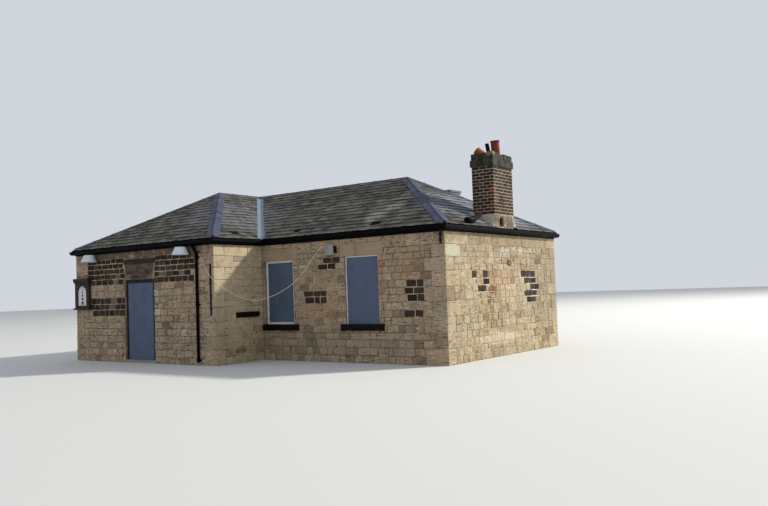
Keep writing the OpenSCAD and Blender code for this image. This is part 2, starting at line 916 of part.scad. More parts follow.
module cable() {
    n = len(CABLE) - 1;
    path = concat(
        [for (i = [0 : n - 1]) for (k = [0 : cable_steps - 1]) smooth(CABLE, i, k / cable_steps)],
        [CABLE[n]]
    );
    last = len(path) - 1;
    ahead = [for (i = [0 : last]) unit(path[min(i + 1, last)] - path[max(i - 1, 0)])];
    ends = [[-1, 0, 0], [0, 0, 1]];
    dirs = [for (i = [0 : last]) i == 0 ? ends[0] : i == last ? ends[1] : ahead[i]];
    side = unit(cross(unit(CABLE[n] - CABLE[0]), [0, 0, 1]));
    rings = [
        for (i = [0 : last]) let (
            u = unit(side - (side * dirs[i]) * dirs[i]),
            w = cross(dirs[i], u)
        )
            for (k = [0 : cable_sides - 1]) let (a = 360 * k / cable_sides)
                path[i] + cable_r * (cos(a) * u + sin(a) * w)
    ];
    s = cable_sides;
    faces = concat(
        [[for (k = [0 : s - 1]) k]],
        [for (i = [0 : last - 1]) for (k = [0 : s - 1])
            [i * s + k, (i + 1) * s + k, (i + 1) * s + (k + 1) % s, i * s + (k + 1) % s]],
        [[for (k = [s - 1 : -1 : 0]) last * s + k]]
    );
    color("beige") place() polyhedron(points = rings, faces = faces, convexity = 6);
}

front_wall();
end_wall();
back_wall();
left_wall();
wing_front_wall();
wing_side_wall();
floor();
main_front_slope();
end_slope();
back_slope();
left_slope();
wing_front_slope();
wing_side_slope();
ridge_tiles();
hip_tiles();
valley_lead();
fascia_boards();
gutters();
window_sills();
window_lintels();
window_frames();
window_boards();
old_sill();
door_steps();
door_frames();
door_boards();
door_infill();
door_lintels();
chimney_base();
chimney_stack();
chimney_cap();
chimney_pots();
flue_stub();
chimney_flashing();
rear_stack();
rear_stack_cap();
fallen_elbow();
sign_case();
sign_panel();
lamp_shades();
lamp_brackets();
downpipe();
conduit();
pipe_stub();
junction_box();
cable_clip();
cable();
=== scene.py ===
"""A disused stone railway station building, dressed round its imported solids.

The walls get coursed stones, quoins and pale pointing, the roof single slates and capping tiles,
and the end chimney its bricks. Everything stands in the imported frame, in metres.
"""

import logging
import math
import random
from collections.abc import Sequence
from dataclasses import dataclass, field
from enum import Enum
from typing import Any

import bmesh
import bpy
from mathutils import Matrix, Vector


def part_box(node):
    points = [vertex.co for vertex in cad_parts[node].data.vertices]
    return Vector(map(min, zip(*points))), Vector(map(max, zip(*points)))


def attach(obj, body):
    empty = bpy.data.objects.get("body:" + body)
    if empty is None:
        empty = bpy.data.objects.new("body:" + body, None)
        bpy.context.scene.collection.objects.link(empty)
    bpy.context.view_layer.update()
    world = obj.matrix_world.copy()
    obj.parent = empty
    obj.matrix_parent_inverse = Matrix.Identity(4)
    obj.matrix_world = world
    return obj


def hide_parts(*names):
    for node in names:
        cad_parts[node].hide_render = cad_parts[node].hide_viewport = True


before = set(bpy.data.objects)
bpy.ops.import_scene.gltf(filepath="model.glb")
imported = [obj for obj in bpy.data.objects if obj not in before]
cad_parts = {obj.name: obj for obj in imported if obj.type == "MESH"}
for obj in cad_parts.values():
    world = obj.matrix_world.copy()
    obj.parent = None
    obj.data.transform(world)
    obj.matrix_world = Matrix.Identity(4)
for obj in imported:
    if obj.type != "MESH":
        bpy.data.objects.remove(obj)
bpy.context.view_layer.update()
LOG = logging.getLogger("station")

Colour = tuple[float, float, float]
Place = tuple[float, float, float]
Plan = tuple[float, float]
Rect = tuple[float, float, float, float]

BODY = "root"
ROW_SHIFT = Vector((0.095, -2.075, 0.0))
MAIN_RIGHT, BACK_EDGE, WING_OUT = 6.12, 6.31, 1.825
EAVES_OVER = 0.1
ROOF_RISE = math.tan(math.radians(28.3))
SLATE_BASE = 3.465
SLATE_GAUGE = 0.21
SLATE_LAP = 0.03
COURSE_START = 3.421
COURSE_RISE = SLATE_GAUGE * ROOF_RISE
BEDDED = -0.002


def paint(red: int, green: int, blue: int) -> Colour:
    """Turns a screen colour, from 0 to 255 each, into the linear one that shaders read."""
    return tuple((level / 255) ** 2.2 for level in (red, green, blue))


class Graph:
    """Adds linked nodes to one shader or geometry tree."""

    def __init__(self, tree: bpy.types.NodeTree) -> None:
        """Keeps the tree that nodes are added to."""
        self.tree = tree

    def put(self, kind: str, inputs: dict[Any, Any] | None = None, **settings: Any) -> bpy.types.Node:
        """Adds one node, and sets or links its inputs.

        Args:
            kind: Blender's name for the node type.
            inputs: Values or sockets by input name or number.
            **settings: Node properties.

        Returns:
            The new node.
        """
        node = self.tree.nodes.new(kind)
        for name, value in settings.items():
            setattr(node, name, value)
        for key, value in (inputs or {}).items():
            if isinstance(value, bpy.types.NodeSocket):
                self.tree.links.new(value, node.inputs[key])
            else:
                node.inputs[key].default_value = value
        return node

    def maths(self, operation: str, first: Any, second: Any = 0.0) -> bpy.types.NodeSocket:
        """Adds a Math node and returns its result."""
        return self.put("ShaderNodeMath", {0: first, 1: second}, operation=operation).outputs[0]

    def vector(self, operation: str, first: Any, second: Any) -> bpy.types.NodeSocket:
        """Adds a Vector Math node and returns its vector."""
        return self.put("ShaderNodeVectorMath", {0: first, 1: second}, operation=operation).outputs[0]

    def ramp(self, value: Any, low: Any, high: Any, **settings: Any) -> bpy.types.NodeSocket:
        """Adds a Map Range node that rises from a low to a high value, and returns its result."""
        return self.put("ShaderNodeMapRange", {0: value, 1: low, 2: high}, **settings).outputs[0]

    def effect(self, kind: "Effect", inputs: dict[str, Any]) -> bpy.types.NodeSocket:
        """Adds one of the shared effects and returns its result."""
        return self.put("ShaderNodeGroup", inputs, node_tree=kind.group()).outputs[0]

    def attribute(self, name: str) -> bpy.types.NodeSocket:
        """Reads a number that each unit carries."""
        return self.put("ShaderNodeAttribute", attribute_name=name).outputs["Fac"]

    def blend(self, factor: Any, first: Any, second: Any) -> bpy.types.NodeSocket:
        """Blends two colours.

        Args:
            factor: Share of the second colour.
            first: Colour or socket.
            second: Colour or socket.

        Returns:
            The blended colour.
        """
        sockets = {
            key: (*value, 1.0) if isinstance(value, tuple) else value
            for key, value in ((0, factor), (6, first), (7, second))
        }
        return self.put("ShaderNodeMix", sockets, data_type="RGBA").outputs[2]


def new_group(
    name: str, kind: str, inputs: dict[str, tuple[str, Any]], output: str
) -> tuple[bpy.types.NodeTree, Graph, bpy.types.NodeOutputs, bpy.types.Node]:
    """Makes an empty node group with named inputs and one output.

    Args:
        name: Name of the group.
        kind: ShaderNodeTree or GeometryNodeTree.
        inputs: Socket type and first value by input name.
        output: Socket type of the output.

    Returns:
        The tree, its graph, the sockets of its inputs and its output node.
    """
    tree = bpy.data.node_groups.new(name, kind)
    for label, (socket_type, value) in inputs.items():
        socket = tree.interface.new_socket(label, in_out="INPUT", socket_type=f"NodeSocket{socket_type}")
        if value is not None:
            socket.default_value = value
    tree.interface.new_socket("Result", in_out="OUTPUT", socket_type=f"NodeSocket{output}")
    graph = Graph(tree)
    return tree, graph, graph.put("NodeGroupInput").outputs, graph.put("NodeGroupOutput")


class Effect(Enum):
    """Surface effects that the finishes share, each a shader node group."""

    PATCHES = "weather patches"
    SETTLED = "settled dust"
    GRAIN = "surface grain"
    SPOT = "placed spot"
    COURSE = "slate course"

    def group(self) -> bpy.types.ShaderNodeTree:
        """Returns this effect's node group, made at its first use.

        Returns:
            The node group.
        """
        found = bpy.data.node_groups.get(self.value)
        if found:
            return found
        where, unit = ("Vector", None), ("Vector", (1.0, 1.0, 1.0))
        inputs = {
            Effect.PATCHES: {
                "Vector": where,
                "Stretch": unit,
                "Scale": ("Float", 1.0),
                "Detail": ("Float", 4.0),
                "Start": ("Float", 0.5),
                "Full": ("Float", 0.7),
                "Strength": ("Float", 1.0),
            },
            Effect.SETTLED: {"Mask": ("Float", 1.0)},
            Effect.GRAIN: {"Vector": where, "Scale": ("Float", 40.0)},
            Effect.SPOT: {"Vector": where, "Centre": where, "Reach": unit, "Mask": ("Float", 1.0)},
            Effect.COURSE: {
                "Vector": where,
                "None": ("Float", 0.0),
                "Full": ("Float", 1.0),
                "Mask": ("Float", 1.0),
            },
        }[self]
        tree, graph, given, out = new_group(self.value, "ShaderNodeTree", inputs, "Float")
        result = getattr(self, f"_{self.name.lower()}")(graph, given)
        tree.links.new(result, out.inputs[0])
        return tree

    @staticmethod
    def _patches(graph: Graph, given: bpy.types.NodeOutputs) -> bpy.types.NodeSocket:
        """Makes a mask of soft patches, streaks or specks from stretched noise.

        Args:
            graph: The group's graph.
            given: The group's inputs.

        Returns:
            The mask.
        """
        place = graph.vector("MULTIPLY", given["Vector"], given["Stretch"])
        inputs = {"Vector": place, "Scale": given["Scale"], "Detail": given["Detail"], "Roughness": 0.6}
        noise = graph.put("ShaderNodeTexNoise", inputs).outputs[0]
        level = graph.ramp(noise, given["Start"], given["Full"], interpolation_type="SMOOTHSTEP")
        return graph.maths("MULTIPLY", level, given["Strength"])

    @staticmethod
    def _settled(graph: Graph, given: bpy.types.NodeOutputs) -> bpy.types.NodeSocket:
        """Keeps a mask to the faces that look up."""
        up = graph.put("ShaderNodeSeparateXYZ", {0: graph.put("ShaderNodeNewGeometry").outputs["Normal"]})
        return graph.maths("MULTIPLY", graph.ramp(up.outputs["Z"], 0.3, 0.9), given["Mask"])

    @staticmethod
    def _grain(graph: Graph, given: bpy.types.NodeOutputs) -> bpy.types.NodeSocket:
        """Makes the height of a rough surface from two sizes of noise.

        Args:
            graph: The group's graph.
            given: The group's inputs.

        Returns:
            The height.
        """
        fine, broad = (
            graph.put("ShaderNodeTexNoise", {"Vector": given["Vector"], "Scale": scale, "Detail": detail})
            for scale, detail in ((given["Scale"], 5.0), (graph.maths("MULTIPLY", given["Scale"], 0.17), 3.0))
        )
        return graph.maths("ADD", graph.maths("MULTIPLY", fine.outputs[0], 0.45), broad.outputs[0])

    @staticmethod
    def _course(graph: Graph, given: bpy.types.NodeOutputs) -> bpy.types.NodeSocket:
        """Makes a mask that grows over a share of every slate course, from its tail up.

        Args:
            graph: The group's graph.
            given: The group's inputs.

        Returns:
            The mask.
        """
        high = graph.put("ShaderNodeSeparateXYZ", {0: given["Vector"]}).outputs["Z"]
        count = graph.maths("DIVIDE", graph.maths("SUBTRACT", high, COURSE_START), COURSE_RISE)
        level = graph.ramp(graph.maths("FRACT", count), given["None"], given["Full"])
        return graph.maths("MULTIPLY", level, given["Mask"])

    @staticmethod
    def _spot(graph: Graph, given: bpy.types.NodeOutputs) -> bpy.types.NodeSocket:
        """Makes a mask that is full round a centre and fades out at the reach along each axis.

        Args:
            graph: The group's graph.
            given: The group's inputs.

        Returns:
            The mask.
        """
        gap = graph.vector("SUBTRACT", given["Vector"], given["Centre"])
        share = graph.vector("DIVIDE", gap, given["Reach"])
        far = graph.put("ShaderNodeVectorMath", {0: share}, operation="LENGTH").outputs["Value"]
        return graph.maths("MULTIPLY", graph.ramp(far, 1.0, 0.6), given["Mask"])


@dataclass(frozen=True)
class Layer:
    """One mark over a finish, weathering and painted light and shade alike: its colour and the pattern that
    it takes.

    A mark with a centre, in the building's own metres, keeps within its reach of that place.
    """

    colour: Colour
    scale: float
    start: float = 0.45
    full: float = 0.7
    strength: float = 1.0
    stretch: Place = (1.0, 1.0, 1.0)
    detail: float = 4.0
    settled: bool = False
    centre: Place | None = None
    reach: Place = (1.0, 1.0, 1.0)
    course: Plan | None = None

    def mask(self, graph: Graph, where: bpy.types.NodeSocket) -> bpy.types.NodeSocket:
        """Adds this mark's pattern to a material.

        Args:
            graph: The material's graph.
            where: The place on the object.

        Returns:
            The mark's mask.
        """
        inputs = {
            "Vector": where,
            "Stretch": self.stretch,
            "Scale": self.scale,
            "Detail": self.detail,
            "Start": self.start,
            "Full": self.full,
            "Strength": self.strength,
        }
        mask = graph.effect(Effect.PATCHES, inputs)
        if self.settled:
            mask = graph.effect(Effect.SETTLED, {"Mask": mask})
        if self.centre:
            centre = Vector(self.centre) + ROW_SHIFT
            inputs = {"Vector": where, "Mask": mask, "Centre": centre, "Reach": self.reach}
            mask = graph.effect(Effect.SPOT, inputs)
        if self.course:
            none, full = self.course
            mask = graph.effect(Effect.COURSE, {"Vector": where, "Mask": mask, "None": none, "Full": full})
        return mask


@dataclass(frozen=True)
class Finish:
    """A weathered surface, from its base colour and marks to its gloss and relief.

    Tones are the colours that single stones, slates or bricks take from their tone attribute.
    """

    name: str
    base: Colour
    layers: tuple[Layer, ...]
    roughness: float = 0.85
    gloss_spread: float = 0.12
    metallic: float = 0.0
    grain: float = 45.0
    relief: float = 0.004
    specular: float = 0.25
    tones: tuple[Colour, ...] = ()
    soot: Colour = (0.012, 0.010, 0.009)

    def material(self) -> bpy.types.Material:
        """Returns the finish's material, made at its first use.

        Returns:
            The material.
        """
        label = f"{self.name} finish"
        found = bpy.data.materials.get(label)
        if found:
            return found
        material = bpy.data.materials.new(label)
        material.use_nodes = True
        material.diffuse_color = (*self.base, 1.0)
        material.node_tree.nodes.clear()
        graph = Graph(material.node_tree)
        where = graph.put("ShaderNodeTexCoord").outputs["Object"]
        colour = self._tone_ramp(graph) if self.tones else self.base
        for layer in self.layers:
            colour = graph.blend(layer.mask(graph, where), colour, layer.colour)
        if self.tones:
            colour = graph.blend(graph.attribute("soot"), colour, self.soot)
        shine = graph.put("ShaderNodeTexNoise", {"Vector": where, "Scale": 6.0, "Detail": 3.0})
        dull, glossy = min(1.0, self.roughness + self.gloss_spread), self.roughness - self.gloss_spread
        spread = {0: shine.outputs[0], 1: 0.3, 2: 0.7, 3: glossy, 4: dull}
        grain = graph.effect(Effect.GRAIN, {"Vector": where, "Scale": self.grain})
        bump = graph.put("ShaderNodeBump", {"Strength": 0.7, "Distance": self.relief, "Height": grain})
        inputs = {
            "Base Color": colour,
            "Roughness": graph.put("ShaderNodeMapRange", spread).outputs[0],
            "Metallic": self.metallic,
            "Specular IOR Level": self.specular,
            "Normal": bump.outputs[0],
        }
        surface = graph.put("ShaderNodeBsdfPrincipled", inputs)
        graph.put("ShaderNodeOutputMaterial", {0: surface.outputs[0]})
        return material

    def _tone_ramp(self, graph: Graph) -> bpy.types.NodeSocket:
        """Reads the tone attribute.

        Args:
            graph: The material's graph.

        Returns:
            The colour that the tone stands for.
        """
        ramp = graph.put("ShaderNodeValToRGB", {0: graph.attribute("tone")})
        points = ramp.color_ramp.elements
        last = len(self.tones) - 1
        for number, tint in enumerate(self.tones):
            point = points[min(number, 1)] if number < 2 else points.new(number / last)
            point.position = number / last
            point.color = (*tint, 1.0)
        return ramp.outputs[0]


RAIN = (1.0, 1.0, 0.12)
SPECKS = (1.0, 1.0, 1.6)
TOOLING = (0.7, 0.7, 2.4)


def at_place(colour: Colour, centre: Place, reach: Place, strength: float = 0.8, scale: float = 6.0) -> Layer:
    """Returns a mark that keeps to one place on the building, with a broken edge."""
    return Layer(colour, scale, 0.3, 0.5, strength, centre=centre, reach=reach)


PALE_JOINT = paint(188, 172, 144)
FRONT_STONE = Finish(
    "front stone",
    paint(152, 134, 112),
    (
        Layer(paint(106, 90, 74), 1.1, 0.48, 0.72, 0.4),
        Layer(paint(184, 164, 138), 7.0, 0.52, 0.72, 0.45),
        Layer(paint(66, 52, 42), 9.0, 0.52, 0.64, 0.72, TOOLING, 8.0),
        Layer(paint(214, 196, 170), 14.0, 0.55, 0.68, 0.62, TOOLING, 8.0),
        Layer(paint(76, 68, 60), 2.2, 0.52, 0.8, 0.4, RAIN),
        at_place(paint(66, 52, 44), (-3.1, -1.825, 3.12), (3.6, 0.4, 0.42), 0.72, 3.0),
        at_place(paint(158, 106, 66), (4.2, 0.0, 2.3), (0.14, 0.4, 0.8), 0.45, 9.0),
        at_place(paint(150, 112, 76), (5.0, 0.0, 2.5), (0.8, 0.4, 0.5), 0.3, 5.0),
        at_place(paint(160, 118, 78), (2.1, 0.0, 1.7), (0.8, 0.4, 0.9), 0.35, 8.0),
        at_place(paint(150, 138, 114), (2.0, 0.0, 0.5), (4.0, 0.4, 0.5), 0.5, 3.0),
        at_place(paint(66, 60, 52), (-3.18, -1.825, 2.6), (0.64, 0.4, 0.26), 0.8, 5.0),
    ),
    tones=(
        paint(112, 94, 80),
        paint(136, 118, 100),
        paint(150, 132, 110),
        paint(158, 138, 114),
        paint(168, 146, 120),
        paint(150, 138, 122),
        paint(184, 168, 146),
    ),
    relief=0.012,
    grain=26.0,
    soot=paint(36, 25, 20),
)
SIDE_STONE = Finish(
    "side stone",
    paint(158, 144, 118),
    (
        Layer(paint(132, 108, 76), 1.3, 0.46, 0.7, 0.4),
        Layer(paint(194, 182, 152), 6.0, 0.5, 0.75, 0.5),
        Layer(paint(88, 68, 48), 9.0, 0.53, 0.66, 0.7, TOOLING, 8.0),
        Layer(paint(214, 202, 174), 13.0, 0.54, 0.7, 0.7, TOOLING, 8.0),
        # painted light: a paler patch over the wing's side wall that brightens it towards its sunlit look
        at_place(paint(196, 180, 148), (0.0, -0.9, 2.2), (0.4, 1.3, 1.8), 0.45, 3.0),
        Layer(paint(58, 44, 34), 24.0, 0.62, 0.7, 0.6, SPECKS),
        Layer(paint(88, 78, 60), 2.0, 0.55, 0.8, 0.45, RAIN),
        at_place(paint(116, 112, 94), (6.12, 5.6, 1.9), (0.5, 1.4, 1.5), 0.45, 3.0),
        at_place(paint(196, 168, 142), (6.12, 3.1, 1.75), (0.5, 0.75, 0.42), 0.35, 9.0),
        at_place(paint(98, 54, 30), (6.12, 2.28, 1.78), (0.5, 0.26, 0.15), 0.85, 9.0),
        at_place(paint(156, 110, 76), (6.12, 2.9, 2.1), (0.5, 1.1, 0.25), 0.3, 12.0),
        at_place(paint(130, 88, 64), (6.12, 2.15, 0.95), (0.5, 0.4, 0.12), 0.45, 12.0),
        at_place(paint(192, 188, 182), (6.12, 3.5, 2.8), (0.5, 1.0, 0.1), 0.45, 12.0),
        at_place(paint(210, 194, 170), (6.12, 2.6, 0.5), (0.5, 1.5, 0.22), 0.5, 9.0),
        at_place(paint(176, 172, 152), (6.12, 0.34, 2.78), (0.5, 0.4, 0.2), 0.9, 1.0),
        at_place(paint(44, 34, 27), (6.12, 3.3, 2.48), (0.3, 0.16, 0.1), 0.95, 10.0),
        at_place(paint(84, 52, 34), (6.12, 2.12, 1.52), (0.3, 0.14, 0.12), 0.9, 10.0),
        at_place(paint(112, 96, 76), (6.12, 3.2, 3.12), (0.3, 3.6, 0.24), 0.45, 3.0),
        at_place(paint(80, 72, 60), (5.8, 3.2, 3.6), (0.6, 0.8, 0.34), 0.7, 5.0),
    ),
    tones=(
        paint(126, 106, 80),
        paint(142, 124, 96),
        paint(154, 138, 110),
        paint(164, 148, 120),
        paint(172, 158, 130),
        paint(152, 140, 118),
        paint(184, 172, 146),
    ),
    relief=0.02,
    grain=20.0,
    soot=paint(32, 23, 19),
)
FRONT_MORTAR = Finish(
    "front mortar",
    paint(124, 106, 90),
    (
        Layer(paint(70, 58, 48), 4.0, 0.48, 0.66, 0.6),
        Layer(paint(168, 152, 130), 5.0, 0.52, 0.7, 0.6),
        at_place(PALE_JOINT, (2.15, 0.0, 1.9), (1.1, 0.5, 1.1), 0.85, 3.0),
        at_place(PALE_JOINT, (5.3, 0.0, 1.6), (0.5, 0.5, 0.7), 0.7, 3.0),
        at_place(PALE_JOINT, (-4.7, -1.825, 2.65), (1.2, 0.5, 0.6), 0.8),
        at_place(PALE_JOINT, (-4.7, -1.825, 1.6), (1.1, 0.5, 0.55), 0.6),
        at_place(PALE_JOINT, (-1.6, -1.825, 2.65), (1.1, 0.5, 0.55), 0.8),
    ),
    0.95,
    grain=70.0,
)
SIDE_MORTAR = Finish(
    "side mortar",
    paint(184, 168, 140),
    (
        Layer(paint(76, 60, 44), 5.0, 0.52, 0.64, 0.75),
        Layer(paint(198, 184, 156), 6.0, 0.5, 0.75, 0.6),
        at_place(paint(206, 196, 176), (6.12, 4.6, 1.85), (0.5, 1.0, 0.7), 0.9),
        at_place(paint(206, 190, 164), (6.12, 1.7, 2.0), (0.5, 0.8, 0.6), 0.8),
    ),
    0.95,
    grain=40.0,
    relief=0.01,
)
DRESSED = Finish(
    "dressed stone",
    paint(158, 136, 112),
    (
        Layer(paint(122, 100, 80), 2.5, 0.45, 0.75, 0.5),
        Layer(paint(84, 70, 56), 14.0, 0.6, 0.72, 0.4),
        Layer(paint(74, 62, 52), 3.0, 0.55, 0.8, 0.5, RAIN),
    ),
    relief=0.003,
)
BLACK_STONE = Finish(
    "black painted stone",
    paint(14, 13, 16),
    (
        Layer(paint(70, 64, 56), 9.0, 0.64, 0.74, 0.5),
        Layer(paint(46, 44, 42), 4.0, 0.45, 0.75, 0.4, settled=True),
    ),
    0.7,
    specular=0.15,
)
BROWN_STONE = Finish(
    "brown stone",
    paint(50, 41, 33),
    (Layer(paint(92, 80, 62), 5.0, 0.52, 0.72, 0.5, TOOLING), Layer(paint(26, 22, 18), 16.0, 0.5, 0.66, 0.7)),
)
FLOOR_STONE = Finish("floor stone", paint(142, 136, 126), (Layer(paint(96, 90, 80), 3.0, 0.45, 0.7, 0.7),))
SLATE = Finish(
    "slate",
    paint(76, 75, 72),
    (
        Layer(paint(116, 112, 100), 1.6, 0.5, 0.72, 0.35),
        Layer(paint(50, 51, 54), 1.1, 0.48, 0.7, 0.35),
        Layer(paint(88, 86, 60), 4.0, 0.54, 0.7, 0.4),
        Layer(paint(30, 30, 32), 10.0, 0.57, 0.7, 0.5),
        # painted sheen: a paler blue-grey patch over the sunlit end slope round the chimney
        at_place(paint(134, 140, 160), (5.3, 3.6, 4.2), (1.6, 3.0, 1.2), 0.6, 3.0),
        # painted light: a paler blue-grey patch over the sunlit side slope of the wing
        at_place(paint(102, 105, 114), (-1.4, 0.3, 4.2), (1.6, 2.2, 1.2), 0.55, 3.0),
        at_place(paint(150, 148, 140), (3.62, 0.65, 3.86), (0.4, 0.5, 0.3), 0.5, 14.0),
        at_place(paint(150, 148, 140), (3.92, 1.18, 4.1), (0.36, 0.42, 0.3), 0.5, 14.0),
        at_place(paint(46, 46, 48), (2.2, 0.5, 3.75), (0.7, 0.4, 0.3), 0.55, 5.0),
        Layer(paint(150, 144, 128), 5.0, 0.4, 0.6, 0.6, course=(0.3, 0.05)),
        # painted shadow: a dark band at the top of every course, where the tails of the course above cast
        # their shade
        Layer(paint(20, 20, 22), 4.0, 0.32, 0.55, 0.85, course=(0.6, 0.85)),
    ),
    0.9,
    relief=0.006,
    grain=26.0,
    specular=0.1,
    tones=(paint(46, 47, 49), paint(66, 66, 65), paint(84, 83, 79), paint(104, 101, 93)),
)
UNDER_SLATE = Finish(
    "under slate",
    paint(16, 16, 18),
    (Layer(paint(8, 8, 9), 3.0, 0.4, 0.7, 0.6),), specular=0.1,
)
CAPPING = Finish(
    "capping",
    paint(70, 76, 94),
    (
        Layer(paint(46, 50, 62), 2.0, 0.45, 0.7, 0.6),
        Layer(paint(122, 128, 140), 6.0, 0.56, 0.76, 0.5),
        at_place(paint(64, 67, 72), (-0.1, 3.155, 5.16), (4.2, 0.5, 0.3), 0.9, 3.0),
        at_place(paint(58, 58, 58), (-4.75, -0.26, 4.3), (2.0, 2.0, 1.2), 0.95, 2.0),
        at_place(paint(78, 80, 82), (-3.155, 2.2, 5.16), (0.5, 1.8, 0.3), 0.8, 3.0),
        at_place(paint(78, 82, 88), (4.6, 4.7, 4.2), (1.8, 1.8, 1.2), 0.8, 3.0),
    ),
    0.8,
    relief=0.003,
    specular=0.15,
)
LEAD = Finish(
    "lead",
    paint(104, 119, 130),
    (Layer(paint(80, 92, 104), 2.5, 0.45, 0.7, 0.6), Layer(paint(138, 148, 158), 8.0, 0.55, 0.8, 0.5)),
    0.7,
    relief=0.002,
)
BLACK_PAINT = Finish(
    "black paint",
    paint(6, 6, 12),
    (Layer(paint(28, 28, 32), 6.0, 0.62, 0.78, 0.4), Layer(paint(56, 40, 28), 9.0, 0.7, 0.78, 0.4)),
    0.6,
    relief=0.001,
    specular=0.07,
)
FRAME_PAINT = Finish(
    "frame paint",
    paint(212, 211, 204),
    (Layer(paint(120, 108, 92), 9.0, 0.58, 0.72, 0.6), Layer(paint(104, 98, 90), 3.0, 0.55, 0.8, 0.3, RAIN)),
    0.6,
    relief=0.0015,
)
DOOR_TIMBER = Finish("door timber", paint(30, 29, 32), (Layer(paint(70, 64, 58), 8.0, 0.6, 0.75, 0.5),), 0.7)
SHEET = Finish(
    "steel sheet",
    paint(82, 94, 116),
    (
        Layer(paint(70, 80, 100), 1.2, 0.42, 0.7, 0.6),
        Layer(paint(104, 114, 132), 3.0, 0.55, 0.8, 0.35, RAIN),
        Layer(paint(94, 92, 92), 9.0, 0.64, 0.76, 0.35),
    ),
    0.55,
    metallic=0.1,
    relief=0.0015,
    grain=5.0,
)
BRICK = Finish(
    "brick",
    paint(48, 34, 29),
    (
        Layer(paint(24, 19, 18), 3.0, 0.45, 0.65, 0.5),
        Layer(paint(104, 86, 70), 14.0, 0.6, 0.72, 0.5),
        at_place(paint(118, 60, 40), (6.12, 2.64, 4.35), (0.2, 0.2, 0.34), 0.6, 9.0),
        at_place(paint(78, 34, 28), (5.8, 2.9, 3.92), (0.6, 0.8, 0.16), 0.6, 6.0),
    ),
    tones=(paint(22, 18, 17), paint(32, 25, 23), paint(44, 32, 28), paint(60, 42, 35), paint(88, 64, 52)),
    relief=0.005,
)
BRICK_MORTAR = Finish(
    "brick mortar",
    paint(152, 136, 114),
    (Layer(paint(104, 90, 74), 3.0, 0.48, 0.7, 0.6), Layer(paint(44, 38, 34), 2.0, 0.54, 0.68, 0.6)),
    0.95,
)
CAP_STONE = Finish(
    "cap stone",
    paint(60, 60, 50),
    (
        Layer(paint(28, 28, 27), 5.0, 0.44, 0.6, 0.8),
        Layer(paint(70, 80, 44), 6.0, 0.5, 0.7, 0.6),
        Layer(paint(100, 92, 74), 11.0, 0.58, 0.7, 0.6),
        at_place(paint(128, 120, 96), (6.05, 2.65, 5.46), (0.16, 0.16, 0.1), 0.9, 4.0),
    ),
    relief=0.012,
    grain=24.0,
)
TERRACOTTA = Finish(
    "terracotta",
    paint(122, 54, 43),
    (
        Layer(paint(74, 32, 26), 6.0, 0.45, 0.7, 0.6),
        at_place(paint(150, 76, 52), (5.7, 2.85, 5.62), (0.4, 0.34, 0.4), 0.9, 4.0),
        at_place(paint(34, 24, 24), (5.8, 3.4, 5.95), (0.3, 0.3, 0.1), 0.9, 3.0),
        Layer(paint(44, 32, 30), 3.0, 0.58, 0.75, 0.5, RAIN),
    ),
    0.8,
    relief=0.003,
)
MORTAR = Finish(
    "lime mortar",
    paint(176, 171, 160),
    (
        Layer(paint(126, 120, 108), 5.0, 0.45, 0.7, 0.7),
        Layer(paint(200, 194, 182), 12.0, 0.58, 0.72, 0.5),
        # painted shade: a near-black patch inside the round-headed recess in the chimney's base
        at_place(paint(46, 34, 27), (6.05, 2.98, 3.6), (0.3, 0.22, 0.27), 0.95, 2.0),
    ),
    0.95,
    relief=0.012,
)
RENDER = Finish("grey render", paint(104, 112, 116), (Layer(paint(76, 84, 84), 2.5, 0.45, 0.7, 0.6),), 0.9)
SIGN_TIMBER = Finish(
    "sign timber",
    paint(54, 48, 46),
    (Layer(paint(28, 25, 26), 8.0, 0.45, 0.65, 0.7), Layer(paint(104, 94, 86), 14.0, 0.6, 0.75, 0.5)),
    0.7,
)
SIGN_ENAMEL = Finish(
    "sign enamel",
    paint(212, 212, 208),
    (Layer(paint(164, 160, 150), 6.0, 0.55, 0.8, 0.6),), 0.3, relief=0.0004,
)
MOTIF = Finish(
    "motif paint",
    paint(34, 38, 66),
    (Layer(paint(60, 64, 88), 20.0, 0.5, 0.7, 0.5),), 0.35, relief=0.0004,
)
SHADE_ENAMEL = Finish(
    "shade enamel",
    paint(198, 204, 210),
    (Layer(paint(150, 150, 146), 6.0, 0.5, 0.75, 0.6, RAIN), Layer(paint(96, 74, 56), 16.0, 0.68, 0.76, 0.6)),
    0.35,
    relief=0.0006,
)
IRON = Finish(
    "rusty iron",
    paint(26, 23, 23),
    (Layer(paint(70, 44, 32), 10.0, 0.56, 0.72, 0.35), Layer(paint(12, 12, 13), 4.0, 0.46, 0.66, 0.7)),
    0.7,
    relief=0.002,
    specular=0.15,
)
BOX_PLASTIC = Finish(
    "box plastic",
    paint(146, 146, 140),
    (Layer(paint(98, 92, 84), 8.0, 0.5, 0.75, 0.6, RAIN),), 0.5, relief=0.0008,
)
CABLE_SHEATH = Finish(
    "cable sheath",
    paint(196, 184, 160),
    (Layer(paint(140, 128, 108), 9.0, 0.5, 0.75, 0.6),), 0.6, relief=0.0005,
)

